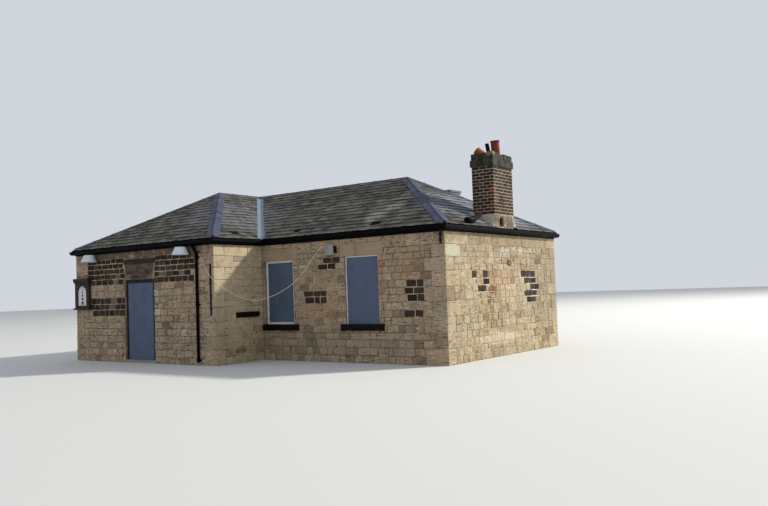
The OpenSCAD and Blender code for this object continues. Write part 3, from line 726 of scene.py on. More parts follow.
NODE_FINISHES = (
    (FRONT_MORTAR, "front_wall back_wall left_wall wing_front_wall door_infill"),
    (SIDE_MORTAR, "end_wall wing_side_wall"),
    (FLOOR_STONE, "floor door_steps"),
    (UNDER_SLATE, "main_front_slope end_slope back_slope left_slope wing_front_slope wing_side_slope"),
    (LEAD, "valley_lead"),
    (BLACK_PAINT, "fascia_boards gutters downpipe"),
    (BLACK_STONE, "window_sills old_sill"),
    (DRESSED, "window_lintels"),
    (FRAME_PAINT, "window_frames"),
    (SHEET, "window_boards door_boards"),
    (DOOR_TIMBER, "door_frames"),
    (BROWN_STONE, "door_lintels"),
    (MORTAR, "chimney_base chimney_flashing"),
    (BRICK_MORTAR, "chimney_stack"),
    (TERRACOTTA, "chimney_pots"),
    (RENDER, "rear_stack rear_stack_cap"),
    (SIGN_TIMBER, "sign_case"),
    (SIGN_ENAMEL, "sign_panel"),
    (SHADE_ENAMEL, "lamp_shades"),
    (IRON, "lamp_brackets conduit pipe_stub cable_clip"),
)


def unit_tree() -> bpy.types.GeometryNodeTree:
    """Makes the tree that grows flat outlines into uneven, bevelled stones, slates or bricks.

    Each face rises by its thick attribute, its top is drawn in to a chamfer, its open back is
    closed, and noise with a fixed seed makes it uneven. The tree is made at its first use.

    Returns:
        The tree.
    """
    name = "laid units"
    if name in bpy.data.node_groups:
        return bpy.data.node_groups[name]
    inputs = {
        "Outlines": ("Geometry", None),
        "Chamfer": ("Float", 0.004),
        "Top Scale": ("Float", 0.95),
        "Unevenness": ("Float", 0.0),
        "Seed": ("Int", 1),
        "Material": ("Material", None),
    }
    tree, graph, given, out = new_group(name, "GeometryNodeTree", inputs, "Geometry")
    flat = given["Outlines"]
    thick = graph.put("GeometryNodeInputNamedAttribute", {"Name": "thick"}, data_type="FLOAT").outputs[0]
    rise = graph.put("GeometryNodeExtrudeMesh", {"Mesh": flat, "Offset Scale": thick, "Individual": True})
    inputs = {"Mesh": rise.outputs[0], "Selection": rise.outputs["Top"], "Individual": True}
    edge = graph.put("GeometryNodeExtrudeMesh", {**inputs, "Offset Scale": given["Chamfer"]})
    inputs = {"Geometry": edge.outputs[0], "Selection": edge.outputs["Top"], "Scale": given["Top Scale"]}
    drawn = graph.put("GeometryNodeScaleElements", inputs)
    back = graph.put("GeometryNodeFlipFaces", {"Mesh": flat})
    both = graph.put("GeometryNodeJoinGeometry")
    tree.links.new(drawn.outputs[0], both.inputs[0])
    tree.links.new(back.outputs[0], both.inputs[0])
    closed = graph.put("GeometryNodeMergeByDistance", {"Geometry": both.outputs[0], "Distance": 0.0002})
    inputs = {"W": given["Seed"], "Scale": 6.0, "Detail": 2.0}
    noise = graph.put("ShaderNodeTexNoise", inputs, noise_dimensions="4D")
    centred = graph.vector("SUBTRACT", noise.outputs["Color"], (0.5, 0.5, 0.5))
    shift = graph.put("ShaderNodeVectorMath", {0: centred, 3: given["Unevenness"]}, operation="SCALE")
    moved = graph.put("GeometryNodeSetPosition", {"Geometry": closed.outputs[0], "Offset": shift.outputs[0]})
    return end_tree(tree, graph, moved, given, out)


def repeat_tree() -> bpy.types.GeometryNodeTree:
    """Makes the tree that sets one shape on every point, turned and sized by its attributes.

    Returns:
        The tree, made at its first use.
    """
    name = "repeated shape"
    if name in bpy.data.node_groups:
        return bpy.data.node_groups[name]
    inputs = {"Points": ("Geometry", None), "Shape": ("Object", None), "Material": ("Material", None)}
    tree, graph, given, out = new_group(name, "GeometryNodeTree", inputs, "Geometry")
    turn, size = (
        graph.put("GeometryNodeInputNamedAttribute", {"Name": label}, data_type="FLOAT_VECTOR").outputs[0]
        for label in ("turn", "size")
    )
    inputs = {
        "Points": given["Points"],
        "Instance": graph.put("GeometryNodeObjectInfo", {"Object": given["Shape"]}).outputs["Geometry"],
        "Rotation": graph.put("FunctionNodeEulerToRotation", {0: turn}).outputs[0],
        "Scale": size,
    }
    return end_tree(tree, graph, graph.put("GeometryNodeInstanceOnPoints", inputs), given, out)


def end_tree(
    tree: bpy.types.NodeTree,
    graph: Graph,
    last: bpy.types.Node,
    given: bpy.types.NodeOutputs,
    out: bpy.types.Node,
) -> bpy.types.NodeTree:
    """Ends a geometry tree: makes its result real, gives it the material and puts it out.

    Args:
        tree: The tree.
        graph: The tree's graph.
        last: The node that makes the geometry.
        given: The tree's inputs.
        out: The tree's output node.

    Returns:
        The finished tree.
    """
    real = graph.put("GeometryNodeRealizeInstances", {"Geometry": last.outputs[0]})
    inputs = {"Geometry": real.outputs[0], "Material": given["Material"]}
    tree.links.new(graph.put("GeometryNodeSetMaterial", inputs).outputs[0], out.inputs[0])
    return tree


def grow(source: bpy.types.Object, tree: bpy.types.GeometryNodeTree, values: dict[str, Any]) -> None:
    """Runs a geometry tree on an object and keeps the result as its plain mesh.

    Args:
        source: Object that carries the outlines or points.
        tree: The tree to run.
        values: Values by the tree's input names.
    """
    modifier = source.modifiers.new("grow", "NODES")
    modifier.node_group = tree
    for item in tree.interface.items_tree:
        if item.item_type == "SOCKET" and item.in_out == "INPUT" and item.name in values:
            modifier[item.identifier] = values[item.name]
    source.update_tag()
    graph = bpy.context.evaluated_depsgraph_get()
    mesh = bpy.data.meshes.new_from_object(source.evaluated_get(graph))
    source.modifiers.clear()
    source.data = mesh


def show(mesh: bpy.types.Mesh, name: str) -> bpy.types.Object:
    """Links a mesh to the scene as a named object.

    Args:
        mesh: The object's mesh.
        name: The object's name.

    Returns:
        The object.
    """
    piece = bpy.data.objects.new(name, mesh)
    bpy.context.scene.collection.objects.link(piece)
    return piece


def to_mesh(work: bmesh.types.BMesh, name: str) -> bpy.types.Mesh:
    """Turns a working mesh into a stored one.

    Args:
        work: The working mesh, which is freed.
        name: Name of the stored mesh.

    Returns:
        The stored mesh, its faces turned outwards.
    """
    bmesh.ops.recalc_face_normals(work, faces=work.faces)
    mesh = bpy.data.meshes.new(name)
    work.to_mesh(mesh)
    work.free()
    return mesh


def finish_mesh(work: bmesh.types.BMesh, name: str, finish: Finish) -> bpy.types.Object:
    """Closes a working mesh into an object with its finish.

    Args:
        work: The working mesh.
        name: Name of the object.
        finish: Its surface.

    Returns:
        The object.
    """
    mesh = to_mesh(work, name)
    mesh.materials.append(finish.material())
    return show(mesh, name)


def hand_over(piece: bpy.types.Object, slot: str, *replaced: str) -> bpy.types.Object:
    """Rides a finished piece on the building and hides the CAD nodes that it stands for.

    Args:
        piece: The finished piece.
        slot: Name of the piece's material slot; not used.
        *replaced: CAD nodes that the piece stands for.

    Returns:
        The same piece.
    """
    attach(piece, BODY)
    if replaced:
        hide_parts(*replaced)
    LOG.info("%s: %d faces", piece.name, len(piece.data.polygons))
    return piece


def scatter(
    name: str, shape: bpy.types.Mesh, spots: Sequence[tuple[Vector, Sequence[float], Place]], finish: Finish
) -> bpy.types.Object:
    """Sets one shape on many spots and joins the copies into one piece.

    Args:
        name: Name of the piece.
        shape: Mesh to repeat.
        spots: Place, turn and size of each copy.
        finish: Surface of the copies.

    Returns:
        The piece.
    """
    single = show(shape, f"{name}_unit")
    cloud = bpy.data.meshes.new(name)
    cloud.from_pydata([spot[0] for spot in spots], [], [])
    for column, label in ((1, "turn"), (2, "size")):
        stored = cloud.attributes.new(label, "FLOAT_VECTOR", "POINT")
        stored.data.foreach_set("vector", [value for spot in spots for value in spot[column]])
    piece = show(cloud, name)
    grow(piece, repeat_tree(), {"Shape": single, "Material": finish.material()})
    bpy.data.objects.remove(single)
    return piece


def block(work: bmesh.types.BMesh, low: Sequence[float], high: Sequence[float], bevel: float = 0.0) -> None:
    """Adds a box between two corners, with worn edges.

    Args:
        work: Mesh to add to.
        low: Lowest corner.
        high: Highest corner.
        bevel: Width of the worn edges.
    """
    size = [b - a for a, b in zip(low, high)]
    middle = [(a + b) / 2 for a, b in zip(low, high)]
    place = Matrix.Translation(middle) @ Matrix.Diagonal((*size, 1.0))
    made = bmesh.ops.create_cube(work, size=1.0, matrix=place)
    if bevel:
        edges = {edge for vert in made["verts"] for edge in vert.link_edges}
        bmesh.ops.bevel(work, geom=list(edges), offset=bevel, segments=2, affect="EDGES", profile=0.6)


def skin(work: bmesh.types.BMesh, rings: list[list[bmesh.types.BMVert]], smooth: bool = False) -> None:
    """Joins rings of corners by faces and closes both ends.

    Args:
        work: Mesh to add to.
        rings: Rings of as many corners each.
        smooth: Whether the sides are shaded smooth.
    """
    for near, far in zip(rings, rings[1:]):
        for k in range(len(near)):
            work.faces.new((near[k - 1], near[k], far[k], far[k - 1])).smooth = smooth
    work.faces.new(rings[0])
    work.faces.new(rings[-1][::-1])


def round_ring(
    work: bmesh.types.BMesh, middle: Vector, ahead: Vector, across: Vector, radius: float, sides: int
) -> list[bmesh.types.BMVert]:
    """Adds a round ring of corners, square to the way ahead.

    Args:
        work: Mesh to add to.
        middle: Middle of the ring.
        ahead: Direction of the tube there.
        across: Rough direction of the first corner.
        radius: Radius of the ring.
        sides: Number of corners.

    Returns:
        The corners.
    """
    side = (across - ahead * across.dot(ahead)).normalized()
    over = ahead.cross(side)
    turns = [2 * math.pi * k / sides for k in range(sides)]
    return [work.verts.new(middle + (side * math.cos(a) + over * math.sin(a)) * radius) for a in turns]


def tube(work: bmesh.types.BMesh, line: Sequence[Place], radius: float, bore: float) -> None:
    """Sweeps a round tube along a line of building places, open at its far end.

    Args:
        work: Mesh to add to.
        line: Places that the tube's middle runs through.
        radius: Outer radius.
        bore: Radius of the hole at the far end.
    """
    points = [Vector(place) + ROW_SHIFT for place in line]
    last, sides, depth = len(points) - 1, 20, 0.1
    across = (points[last] - points[0]).normalized().cross(Vector((0.3, 1.0, 0.2))).normalized()
    stations = [
        (points[max(k - 1, 0)], point, points[min(k + 1, last)], radius)
        for k, point in enumerate(points)
    ]
    end, before = points[last], points[last - 1]
    stations += [(before, end, end, bore), (before, end + (before - end).normalized() * depth, end, bore)]
    rings = [
        round_ring(work, point, (after - before).normalized(), across, wide, sides)
        for before, point, after, wide in stations
    ]
    skin(work, rings, True)


@dataclass
class Outline:
    """A flat unit before it is grown: its corners, thickness, tone and soot."""

    corners: list[Vector]
    thick: float
    tone: float
    soot: float = 0.0


@dataclass
class UnitBed:
    """A bed of stones, slates or bricks that becomes one piece."""

    name: str
    finish: Finish
    slot: str
    chamfer: float
    top_scale: float
    unevenness: float
    seed: int
    outlines: list[Outline] = field(default_factory=list)

    def lay(self, corners: list[Vector], thick: float, tone: float, soot: float = 0.0) -> None:
        """Adds one unit to the bed."""
        self.outlines.append(Outline(corners, thick, tone, soot))

    def build(self) -> bpy.types.Object:
        """Grows the outlines into units.

        Returns:
            The finished piece.
        """
        mesh = bpy.data.meshes.new(self.name)
        points = [corner for outline in self.outlines for corner in outline.corners]
        faces, start = [], 0
        for outline in self.outlines:
            faces.append(range(start, start + len(outline.corners)))
            start += len(outline.corners)
        mesh.from_pydata(points, [], faces)
        for label in ("thick", "tone", "soot"):
            values = mesh.attributes.new(label, "FLOAT", "FACE")
            values.data.foreach_set("value", [getattr(outline, label) for outline in self.outlines])
        piece = show(mesh, self.name)
        values = {
            "Chamfer": self.chamfer,
            "Top Scale": self.top_scale,
            "Unevenness": self.unevenness,
            "Seed": self.seed,
            "Material": self.finish.material(),
        }
        grow(piece, unit_tree(), values)
        return hand_over(piece, self.slot)


def clip(points: list[Plan], normal: Plan, limit: float) -> list[Plan]:
    """Cuts a convex outline by a straight line and keeps the side below the limit.

    Args:
        points: The outline's corners.
        normal: Direction in which the outline is limited.
        limit: Largest reach along that direction.

    Returns:
        The corners that are left.
    """
    kept: list[Plan] = []
    for number, here in enumerate(points):
        before = points[number - 1]
        reach = here[0] * normal[0] + here[1] * normal[1] - limit
        reach_before = before[0] * normal[0] + before[1] * normal[1] - limit
        if reach * reach_before < 0:
            share = reach_before / (reach_before - reach)
            kept.append(tuple(a + (b - a) * share for a, b in zip(before, here)))
        if reach <= 0:
            kept.append(here)
    return kept


def span(points: Sequence[Plan]) -> Rect:
    """Returns the least and greatest of both coordinates of an outline."""
    first, second = zip(*points)
    return min(first), max(first), min(second), max(second)


def overlap(one: Rect, two: Rect) -> bool:
    """Says whether two rectangles share some room."""
    return one[0] < two[1] and one[1] > two[0] and one[2] < two[3] and one[3] > two[2]


def within(rect: Rect, patches: Sequence[Rect]) -> bool:
    """Says whether a rectangle's middle lies in one of the patches."""
    x, z = (rect[0] + rect[1]) / 2, (rect[2] + rect[3]) / 2
    return any(p[0] < x < p[1] and p[2] < z < p[3] for p in patches)


def without(rects: list[Rect], hole: Rect, least: float = 0.045) -> list[Rect]:
    """Cuts a hole out of upright rectangles, and drops the slivers.

    Args:
        rects: Rectangles as left, right, low and high.
        hole: The rectangle to take out.
        least: Smallest side worth keeping.

    Returns:
        The rectangles that are left.
    """
    kept = []
    for rect in rects:
        left, right, low, high = rect
        if not overlap(hole, rect):
            kept.append(rect)
            continue
        kept += [
            (left, hole[0], low, high),
            (hole[1], right, low, high),
            (max(left, hole[0]), min(right, hole[1]), low, hole[2]),
            (max(left, hole[0]), min(right, hole[1]), hole[3], high),
        ]
    return [r for r in kept if r[1] - r[0] > least and r[3] - r[2] > least]


@dataclass(frozen=True)
class Window:
    """A window in a wall face: its middle and the room beside it for a sill's ear."""

    middle: float
    left_ear: float = 0.16
    right_ear: float = 0.16
    width: float = 1.08
    low: float = 1.0
    high: float = 2.78
    sill: float = 0.165
    lintel: float = 0.33

    def holes(self) -> list[Rect]:
        """Finds what the opening, its sill and its lintel take out of the stones.

        Returns:
            The rectangles to leave out.
        """
        left, right = self.middle - self.width / 2, self.middle + self.width / 2
        ears = (left - self.left_ear, right + self.right_ear)
        opening = (left, right, self.low, self.high)
        return [opening, (*ears, self.low - self.sill, self.low), (*ears, self.high, self.high + self.lintel)]


@dataclass(frozen=True)
class WallFace:
    """One wall face, seen from outside: where it starts, where it runs and what it holds."""

    name: str
    start: Plan
    right: Plan
    out: Plan
    length: float
    finish: Finish
    slot: str
    seed: int
    corners: tuple[bool, bool] = (True, True)
    windows: tuple[Window, ...] = ()
    gaps: tuple[Rect, ...] = ()
    dark: tuple[Rect, ...] = ()
    pale: tuple[Rect, ...] = ()
    row: float = 0.17
    lengths: Plan = (0.2, 0.42)
    worn: float = 0.05

    def at(self, along: float, high: float, proud: float = 0.0) -> Vector:
        """Finds a point of the face.

        Args:
            along: Distance from the face's left end.
            high: Height.
            proud: Distance out from the face.

        Returns:
            The point.
        """
        x = self.start[0] + self.right[0] * along + self.out[0] * proud
        y = self.start[1] + self.right[1] * along + self.out[1] * proud
        return Vector((x, y, high)) + ROW_SHIFT


EAST, WEST, NORTH, SOUTH = (1.0, 0.0), (-1.0, 0.0), (0.0, 1.0), (0.0, -1.0)
DOOR_LEFT, DOOR_RIGHT = 2.455, 3.805
FRONT_LOOK, SIDE_LOOK = (FRONT_STONE, "front_stone"), (SIDE_STONE, "side_stone")
MAIN_FRONT = WallFace(
    "main_front", (0.0, 0.0), EAST, SOUTH, MAIN_RIGHT, *FRONT_LOOK, 11, (False, True),
    windows=(Window(0.65, 0.11), Window(3.57)),
    dark=(
        (4.95, 5.5, 1.57, 2.09),
        (4.95, 5.56, 1.12, 1.44),
        (1.72, 2.4, 1.46, 1.91),
        (2.25, 2.85, 2.5, 2.76),
    ),
    worn=0.14,
)
END = WallFace(
    "end", (MAIN_RIGHT, 0.0), NORTH, EAST, BACK_EDGE, *SIDE_LOOK, 12,
    dark=(
        (1.15, 1.55, 2.11, 2.3),
        (1.8, 2.2, 2.11, 2.3),
        (1.9, 2.2, 1.93, 2.1),
        (1.55, 2.05, 1.74, 1.91),
        (4.15, 4.95, 1.92, 2.3),
        (4.45, 5.0, 1.74, 1.92),
        (4.15, 4.95, 1.56, 1.74),
        (4.4, 4.95, 1.4, 1.56),
    ),
    pale=((0.03, 0.66, 2.62, 2.94),),
    lengths=(0.2, 0.45),
)
BACK = WallFace(
    "back", (MAIN_RIGHT, BACK_EDGE), WEST, NORTH, 12.43, *FRONT_LOOK, 13,
    windows=(Window(1.77), Window(5.77), Window(10.72)),
    gaps=((7.545, 8.895, 0.0, 2.41), (7.385, 9.055, 2.41, 2.74)),
    dark=((3.2, 4.3, 1.5, 2.0),),
)
LEFT = WallFace(
    "left", (-BACK_EDGE, BACK_EDGE), SOUTH, WEST, 8.135, *FRONT_LOOK, 14,
    windows=(Window(4.11),),
    dark=((5.8, 6.9, 1.4, 1.9),),
)
WING_FRONT = WallFace(
    "wing_front", (-BACK_EDGE, -WING_OUT), EAST, SOUTH, BACK_EDGE, *FRONT_LOOK, 15,
    gaps=((DOOR_LEFT, DOOR_RIGHT, 0.0, 2.86), (DOOR_LEFT - 0.05, DOOR_RIGHT + 0.05, 2.86, 3.01)),
    dark=((0.72, 2.5, 2.27, 3.06), (3.81, 5.5, 2.29, 3.06), (0.79, 2.46, 1.3, 1.99)),
)
WING_SIDE = WallFace(
    "wing_side", (0.0, -WING_OUT), NORTH, EAST, WING_OUT, *SIDE_LOOK, 16, (True, False),
    gaps=((0.77, 1.64, 1.24, 1.385),),
    row=0.19,
    lengths=(0.26, 0.5),
)
FACES = (MAIN_FRONT, END, BACK, LEFT, WING_FRONT, WING_SIDE)
COURSES = (0.0, 0.40, 0.78, 1.17, 1.55, 1.91, 2.29, 2.62, 2.93, 3.24)
WING_COURSES = (0.0, 0.40, 0.78, 1.17, 1.55, 1.91, 2.29, 2.61, 3.06, 3.24)


@dataclass
class Stonework:
    """Coursed stones over one wall face, with quoins, a smooth top course and eroded patches."""

    face: WallFace
    courses: tuple[float, ...]
    long_quoin: float = 0.64
    short_quoin: float = 0.36
    quoin_joint: float = 0.004
    quoin_thick: float = 0.013
    tall_width: Plan = (0.3, 0.46)
    tall_gap: Plan = (2.2, 5.0)
    tall_joint: float = 0.006
    tall_thick: float = 0.012
    thick: float = 0.010
    joint: float = 0.009
    wide_joint: float = 0.012
    wander: float = 0.008
    dark_block: Plan = (0.2, 0.32)
    dark_thick: float = 0.008
    dark_tone: Plan = (0.0, 0.3)
    dark_soot: Plan = (0.84, 1.0)
    dark_share: float = 0.93
    faded_soot: Plan = (0.3, 0.6)
    worn_soot: Plan = (0.1, 0.45)
    pale_tone: float = 0.98
    top_block: Plan = (0.7, 1.25)
    top_thick: float = 0.012
    corner_reach: float = 0.012
    least: float = 0.03
    infill_rows: tuple[float, ...] = (2.41, 2.56, 2.71)
    infill_rise: float = 0.15
    infill_joint: float = 0.008

    def __post_init__(self) -> None:
        """Starts the face's own seeded random numbers and its bed of stones."""
        face = self.face
        self.random = random.Random(face.seed)
        self.bed = UnitBed(f"{face.name}_stones", face.finish, face.slot, 0.005, 0.95, 0.012, face.seed)

    def build(self) -> bpy.types.Object:
        """Lays every course.

        Returns:
            The finished stones.
        """
        for number, (low, high) in enumerate(zip(self.courses, self.courses[1:])):
            room = (*self._quoins(number, low, high), low, high)
            if number == len(self.courses) - 2:
                self._row(room, self.top_block, self.top_thick, 0.5)
            else:
                self._field(room)
        if self.face is WING_FRONT:
            self._infill()
        return self.bed.build()

    def _quoins(self, number: int, low: float, high: float) -> Plan:
        """Lays the corner stones of one course.

        Args:
            number: Number of the course.
            low: Its bottom.
            high: Its top.

        Returns:
            Where the stones between the corners start and end.
        """
        face, ends = self.face, [0.0, self.face.length]
        for side, has_corner in enumerate(face.corners):
            if not has_corner:
                ends[side] += self.corner_reach if side == 0 else -self.corner_reach
                continue
            reach = self.long_quoin if (number + side) % 2 else self.short_quoin
            reach *= self.random.uniform(0.92, 1.1)
            if side == 0:
                block_ends = (-self.corner_reach, reach)
                ends[0] = reach
            else:
                block_ends = (face.length - reach, face.length + self.corner_reach)
                ends[1] = face.length - reach
            tone = self.random.uniform(0.35, 0.85)
            self._stone((*block_ends, low, high), self.quoin_thick, self.quoin_joint, tone)
        return ends[0], ends[1]

    def _field(self, room: Rect) -> None:
        """Fills one course between the quoins with rows of smaller stones and a few tall ones.

        Args:
            room: The course between its quoins.
        """
        left, right, low, high = room
        rows = max(2, round((high - low) / self.face.row))
        talls: list[Rect] = []
        here = left + self.random.uniform(0.3, 3.0)
        while here < right - 0.8:
            width = self.random.uniform(*self.tall_width)
            if not any(overlap(rect, (here, here + width, low, high)) for rect in self.face.dark):
                talls.append((here, here + width, low, low + (high - low) * 2 / 3))
                self._stone(talls[-1], self.tall_thick, self.tall_joint, self.random.uniform(0.35, 0.7))
            here += width + self.random.uniform(*self.tall_gap)
        shifts = [self.random.uniform(-0.08, 0.08) * (0 < k < rows) for k in range(rows + 1)]
        steps = [low + (high - low) * (k + shift) / rows for k, shift in enumerate(shifts)]
        for bottom, top in zip(steps, steps[1:]):
            self._row((left, right, bottom, top), self.face.lengths, self.thick, None, talls)

    def _row(
        self, room: Rect, lengths: Plan, thick: float, tone: float | None, taken: Sequence[Rect] = ()
    ) -> None:
        """Lays one row of stones of random lengths.

        Args:
            room: The row.
            lengths: Shortest and longest stone.
            thick: How far the stones stand out.
            tone: Their tone, or None for one of each stone's own.
            taken: Rectangles to keep clear of.
        """
        here, right, low, high = room
        while here < right - 0.02:
            width = self.random.uniform(*lengths)
            if within((here, here + self.dark_block[0], low, high), self.face.dark):
                width = self.random.uniform(*self.dark_block)
            if right - here - width < lengths[0] * 0.6:
                width = right - here
            pieces = [(here, here + width, low, high)]
            for hole in taken:
                pieces = without(pieces, hole)
            for rect in pieces:
                if tone is None:
                    own = self.random.triangular(0.0, 1.0, 0.5)
                else:
                    own = tone + self.random.uniform(-0.15, 0.15)
                self._stone(rect, thick + self.random.uniform(-0.004, 0.005), self.joint, own)
            here += width

    def _stone(self, rect: Rect, thick: float, joint: float, tone: float) -> None:
        """Adds one stone, cut round the openings, worn at its corners and darkened in a patch.

        Args:
            rect: The stone with its joints.
            thick: How far it stands out.
            joint: Half the joint's width.
            tone: Its tone from 0 to 1.
        """
        face, pick = self.face, self.random
        soot = 0.0
        if within(rect, face.dark):
            soot = pick.uniform(*(self.dark_soot if pick.random() < self.dark_share else self.faded_soot))
            joint, thick, tone = self.wide_joint, self.dark_thick, pick.uniform(*self.dark_tone)
        elif pick.random() < face.worn:
            soot = pick.uniform(*self.worn_soot)
        if within(rect, face.pale):
            tone, soot = self.pale_tone, 0.0
        pieces = [rect]
        for hole in [*face.gaps, *(h for window in face.windows for h in window.holes())]:
            pieces = without(pieces, hole)
        for left, right, low, high in pieces:
            left, right, low, high = left + joint, right - joint, low + joint, high - joint
            if right - left < self.least or high - low < self.least:
                continue
            cut = min(0.012, (high - low) / 4) * pick.uniform(0.5, 1.3)
            across, up = (left, left + cut, right - cut, right), (low, low + cut, high - cut, high)
            ring = ((1, 0), (2, 0), (3, 1), (3, 2), (2, 3), (1, 3), (0, 2), (0, 1))
            corners = []
            for i, j in ring:
                x, z = (place + pick.uniform(-self.wander, self.wander) for place in (across[i], up[j]))
                corners.append(face.at(x, z, BEDDED))
            self.bed.lay(corners, thick, max(0.0, min(1.0, tone)), soot)

    def _infill(self) -> None:
        """Lays the rough stones that fill the head of the front doorway."""
        edge = self.infill_joint
        for low in self.infill_rows:
            here = DOOR_LEFT
            while here < DOOR_RIGHT - 0.1:
                width = min(self.random.uniform(0.18, 0.36), DOOR_RIGHT - here)
                across, up = (here + edge, here + width - edge), (low + edge, low + self.infill_rise - edge)
                corners = []
                for i, j in ((0, 0), (1, 0), (1, 1), (0, 1)):
                    x, z = (place + self.random.uniform(-0.006, 0.006) for place in (across[i], up[j]))
                    corners.append(self.face.at(x, z, BEDDED))
                self.bed.lay(corners, 0.010, 0.85, self.random.uniform(0.3, 0.75))
                here += width


@dataclass(frozen=True)
class SlopeFace:
    """One roof slope over a wall face, in the plan of the building."""

    wall: WallFace
    corners: tuple[Plan, ...]

    def local(self, point: Plan) -> Plan:
        """Turns a point of the plan into a place on the slope.

        Args:
            point: The point of the plan.

        Returns:
            How far along the wall and how far in from its face it lies.
        """
        wall = self.wall
        gap = (point[0] - wall.start[0], point[1] - wall.start[1])
        along = gap[0] * wall.right[0] + gap[1] * wall.right[1]
        return along, -(gap[0] * wall.out[0] + gap[1] * wall.out[1])

    def at(self, along: float, inward: float, lift: float = 0.0) -> Vector:
        """Finds the point of the slope at a place in plan.

        Args:
            along: Distance along the wall.
            inward: Distance in from its face.
            lift: Height square off the slates.

        Returns:
            The point.
        """
        angle = math.atan(ROOF_RISE)
        base = self.wall.at(along, SLATE_BASE + inward * ROOF_RISE, -inward)
        out = Vector((*self.wall.out, 0.0))
        return base + (out * math.sin(angle) + Vector((0.0, 0.0, math.cos(angle)))) * lift


WING_PEAK, RIDGE_TURN, MAIN_PEAK = (-3.155, 1.33), (-3.155, 3.155), (2.965, 3.155)
VALLEY_FOOT = (EAVES_OVER, -EAVES_OVER)


def roof_slopes() -> list[SlopeFace]:
    """Finds the six slopes, with their eaves moved out past the walls.

    Returns:
        The slopes.
    """
    west, east, north = -BACK_EDGE - EAVES_OVER, MAIN_RIGHT + EAVES_OVER, BACK_EDGE + EAVES_OVER
    a, b, c = (west, -WING_OUT - EAVES_OVER), (EAVES_OVER, -WING_OUT - EAVES_OVER), VALLEY_FOOT
    d, e, f = (east, -EAVES_OVER), (east, north), (west, north)
    return [
        SlopeFace(WING_FRONT, (a, b, WING_PEAK)),
        SlopeFace(WING_SIDE, (b, c, RIDGE_TURN, WING_PEAK)),
        SlopeFace(MAIN_FRONT, (c, d, MAIN_PEAK, RIDGE_TURN)),
        SlopeFace(END, (d, e, MAIN_PEAK)),
        SlopeFace(BACK, (e, f, RIDGE_TURN, MAIN_PEAK)),
        SlopeFace(LEFT, (f, a, WING_PEAK, RIDGE_TURN)),
    ]


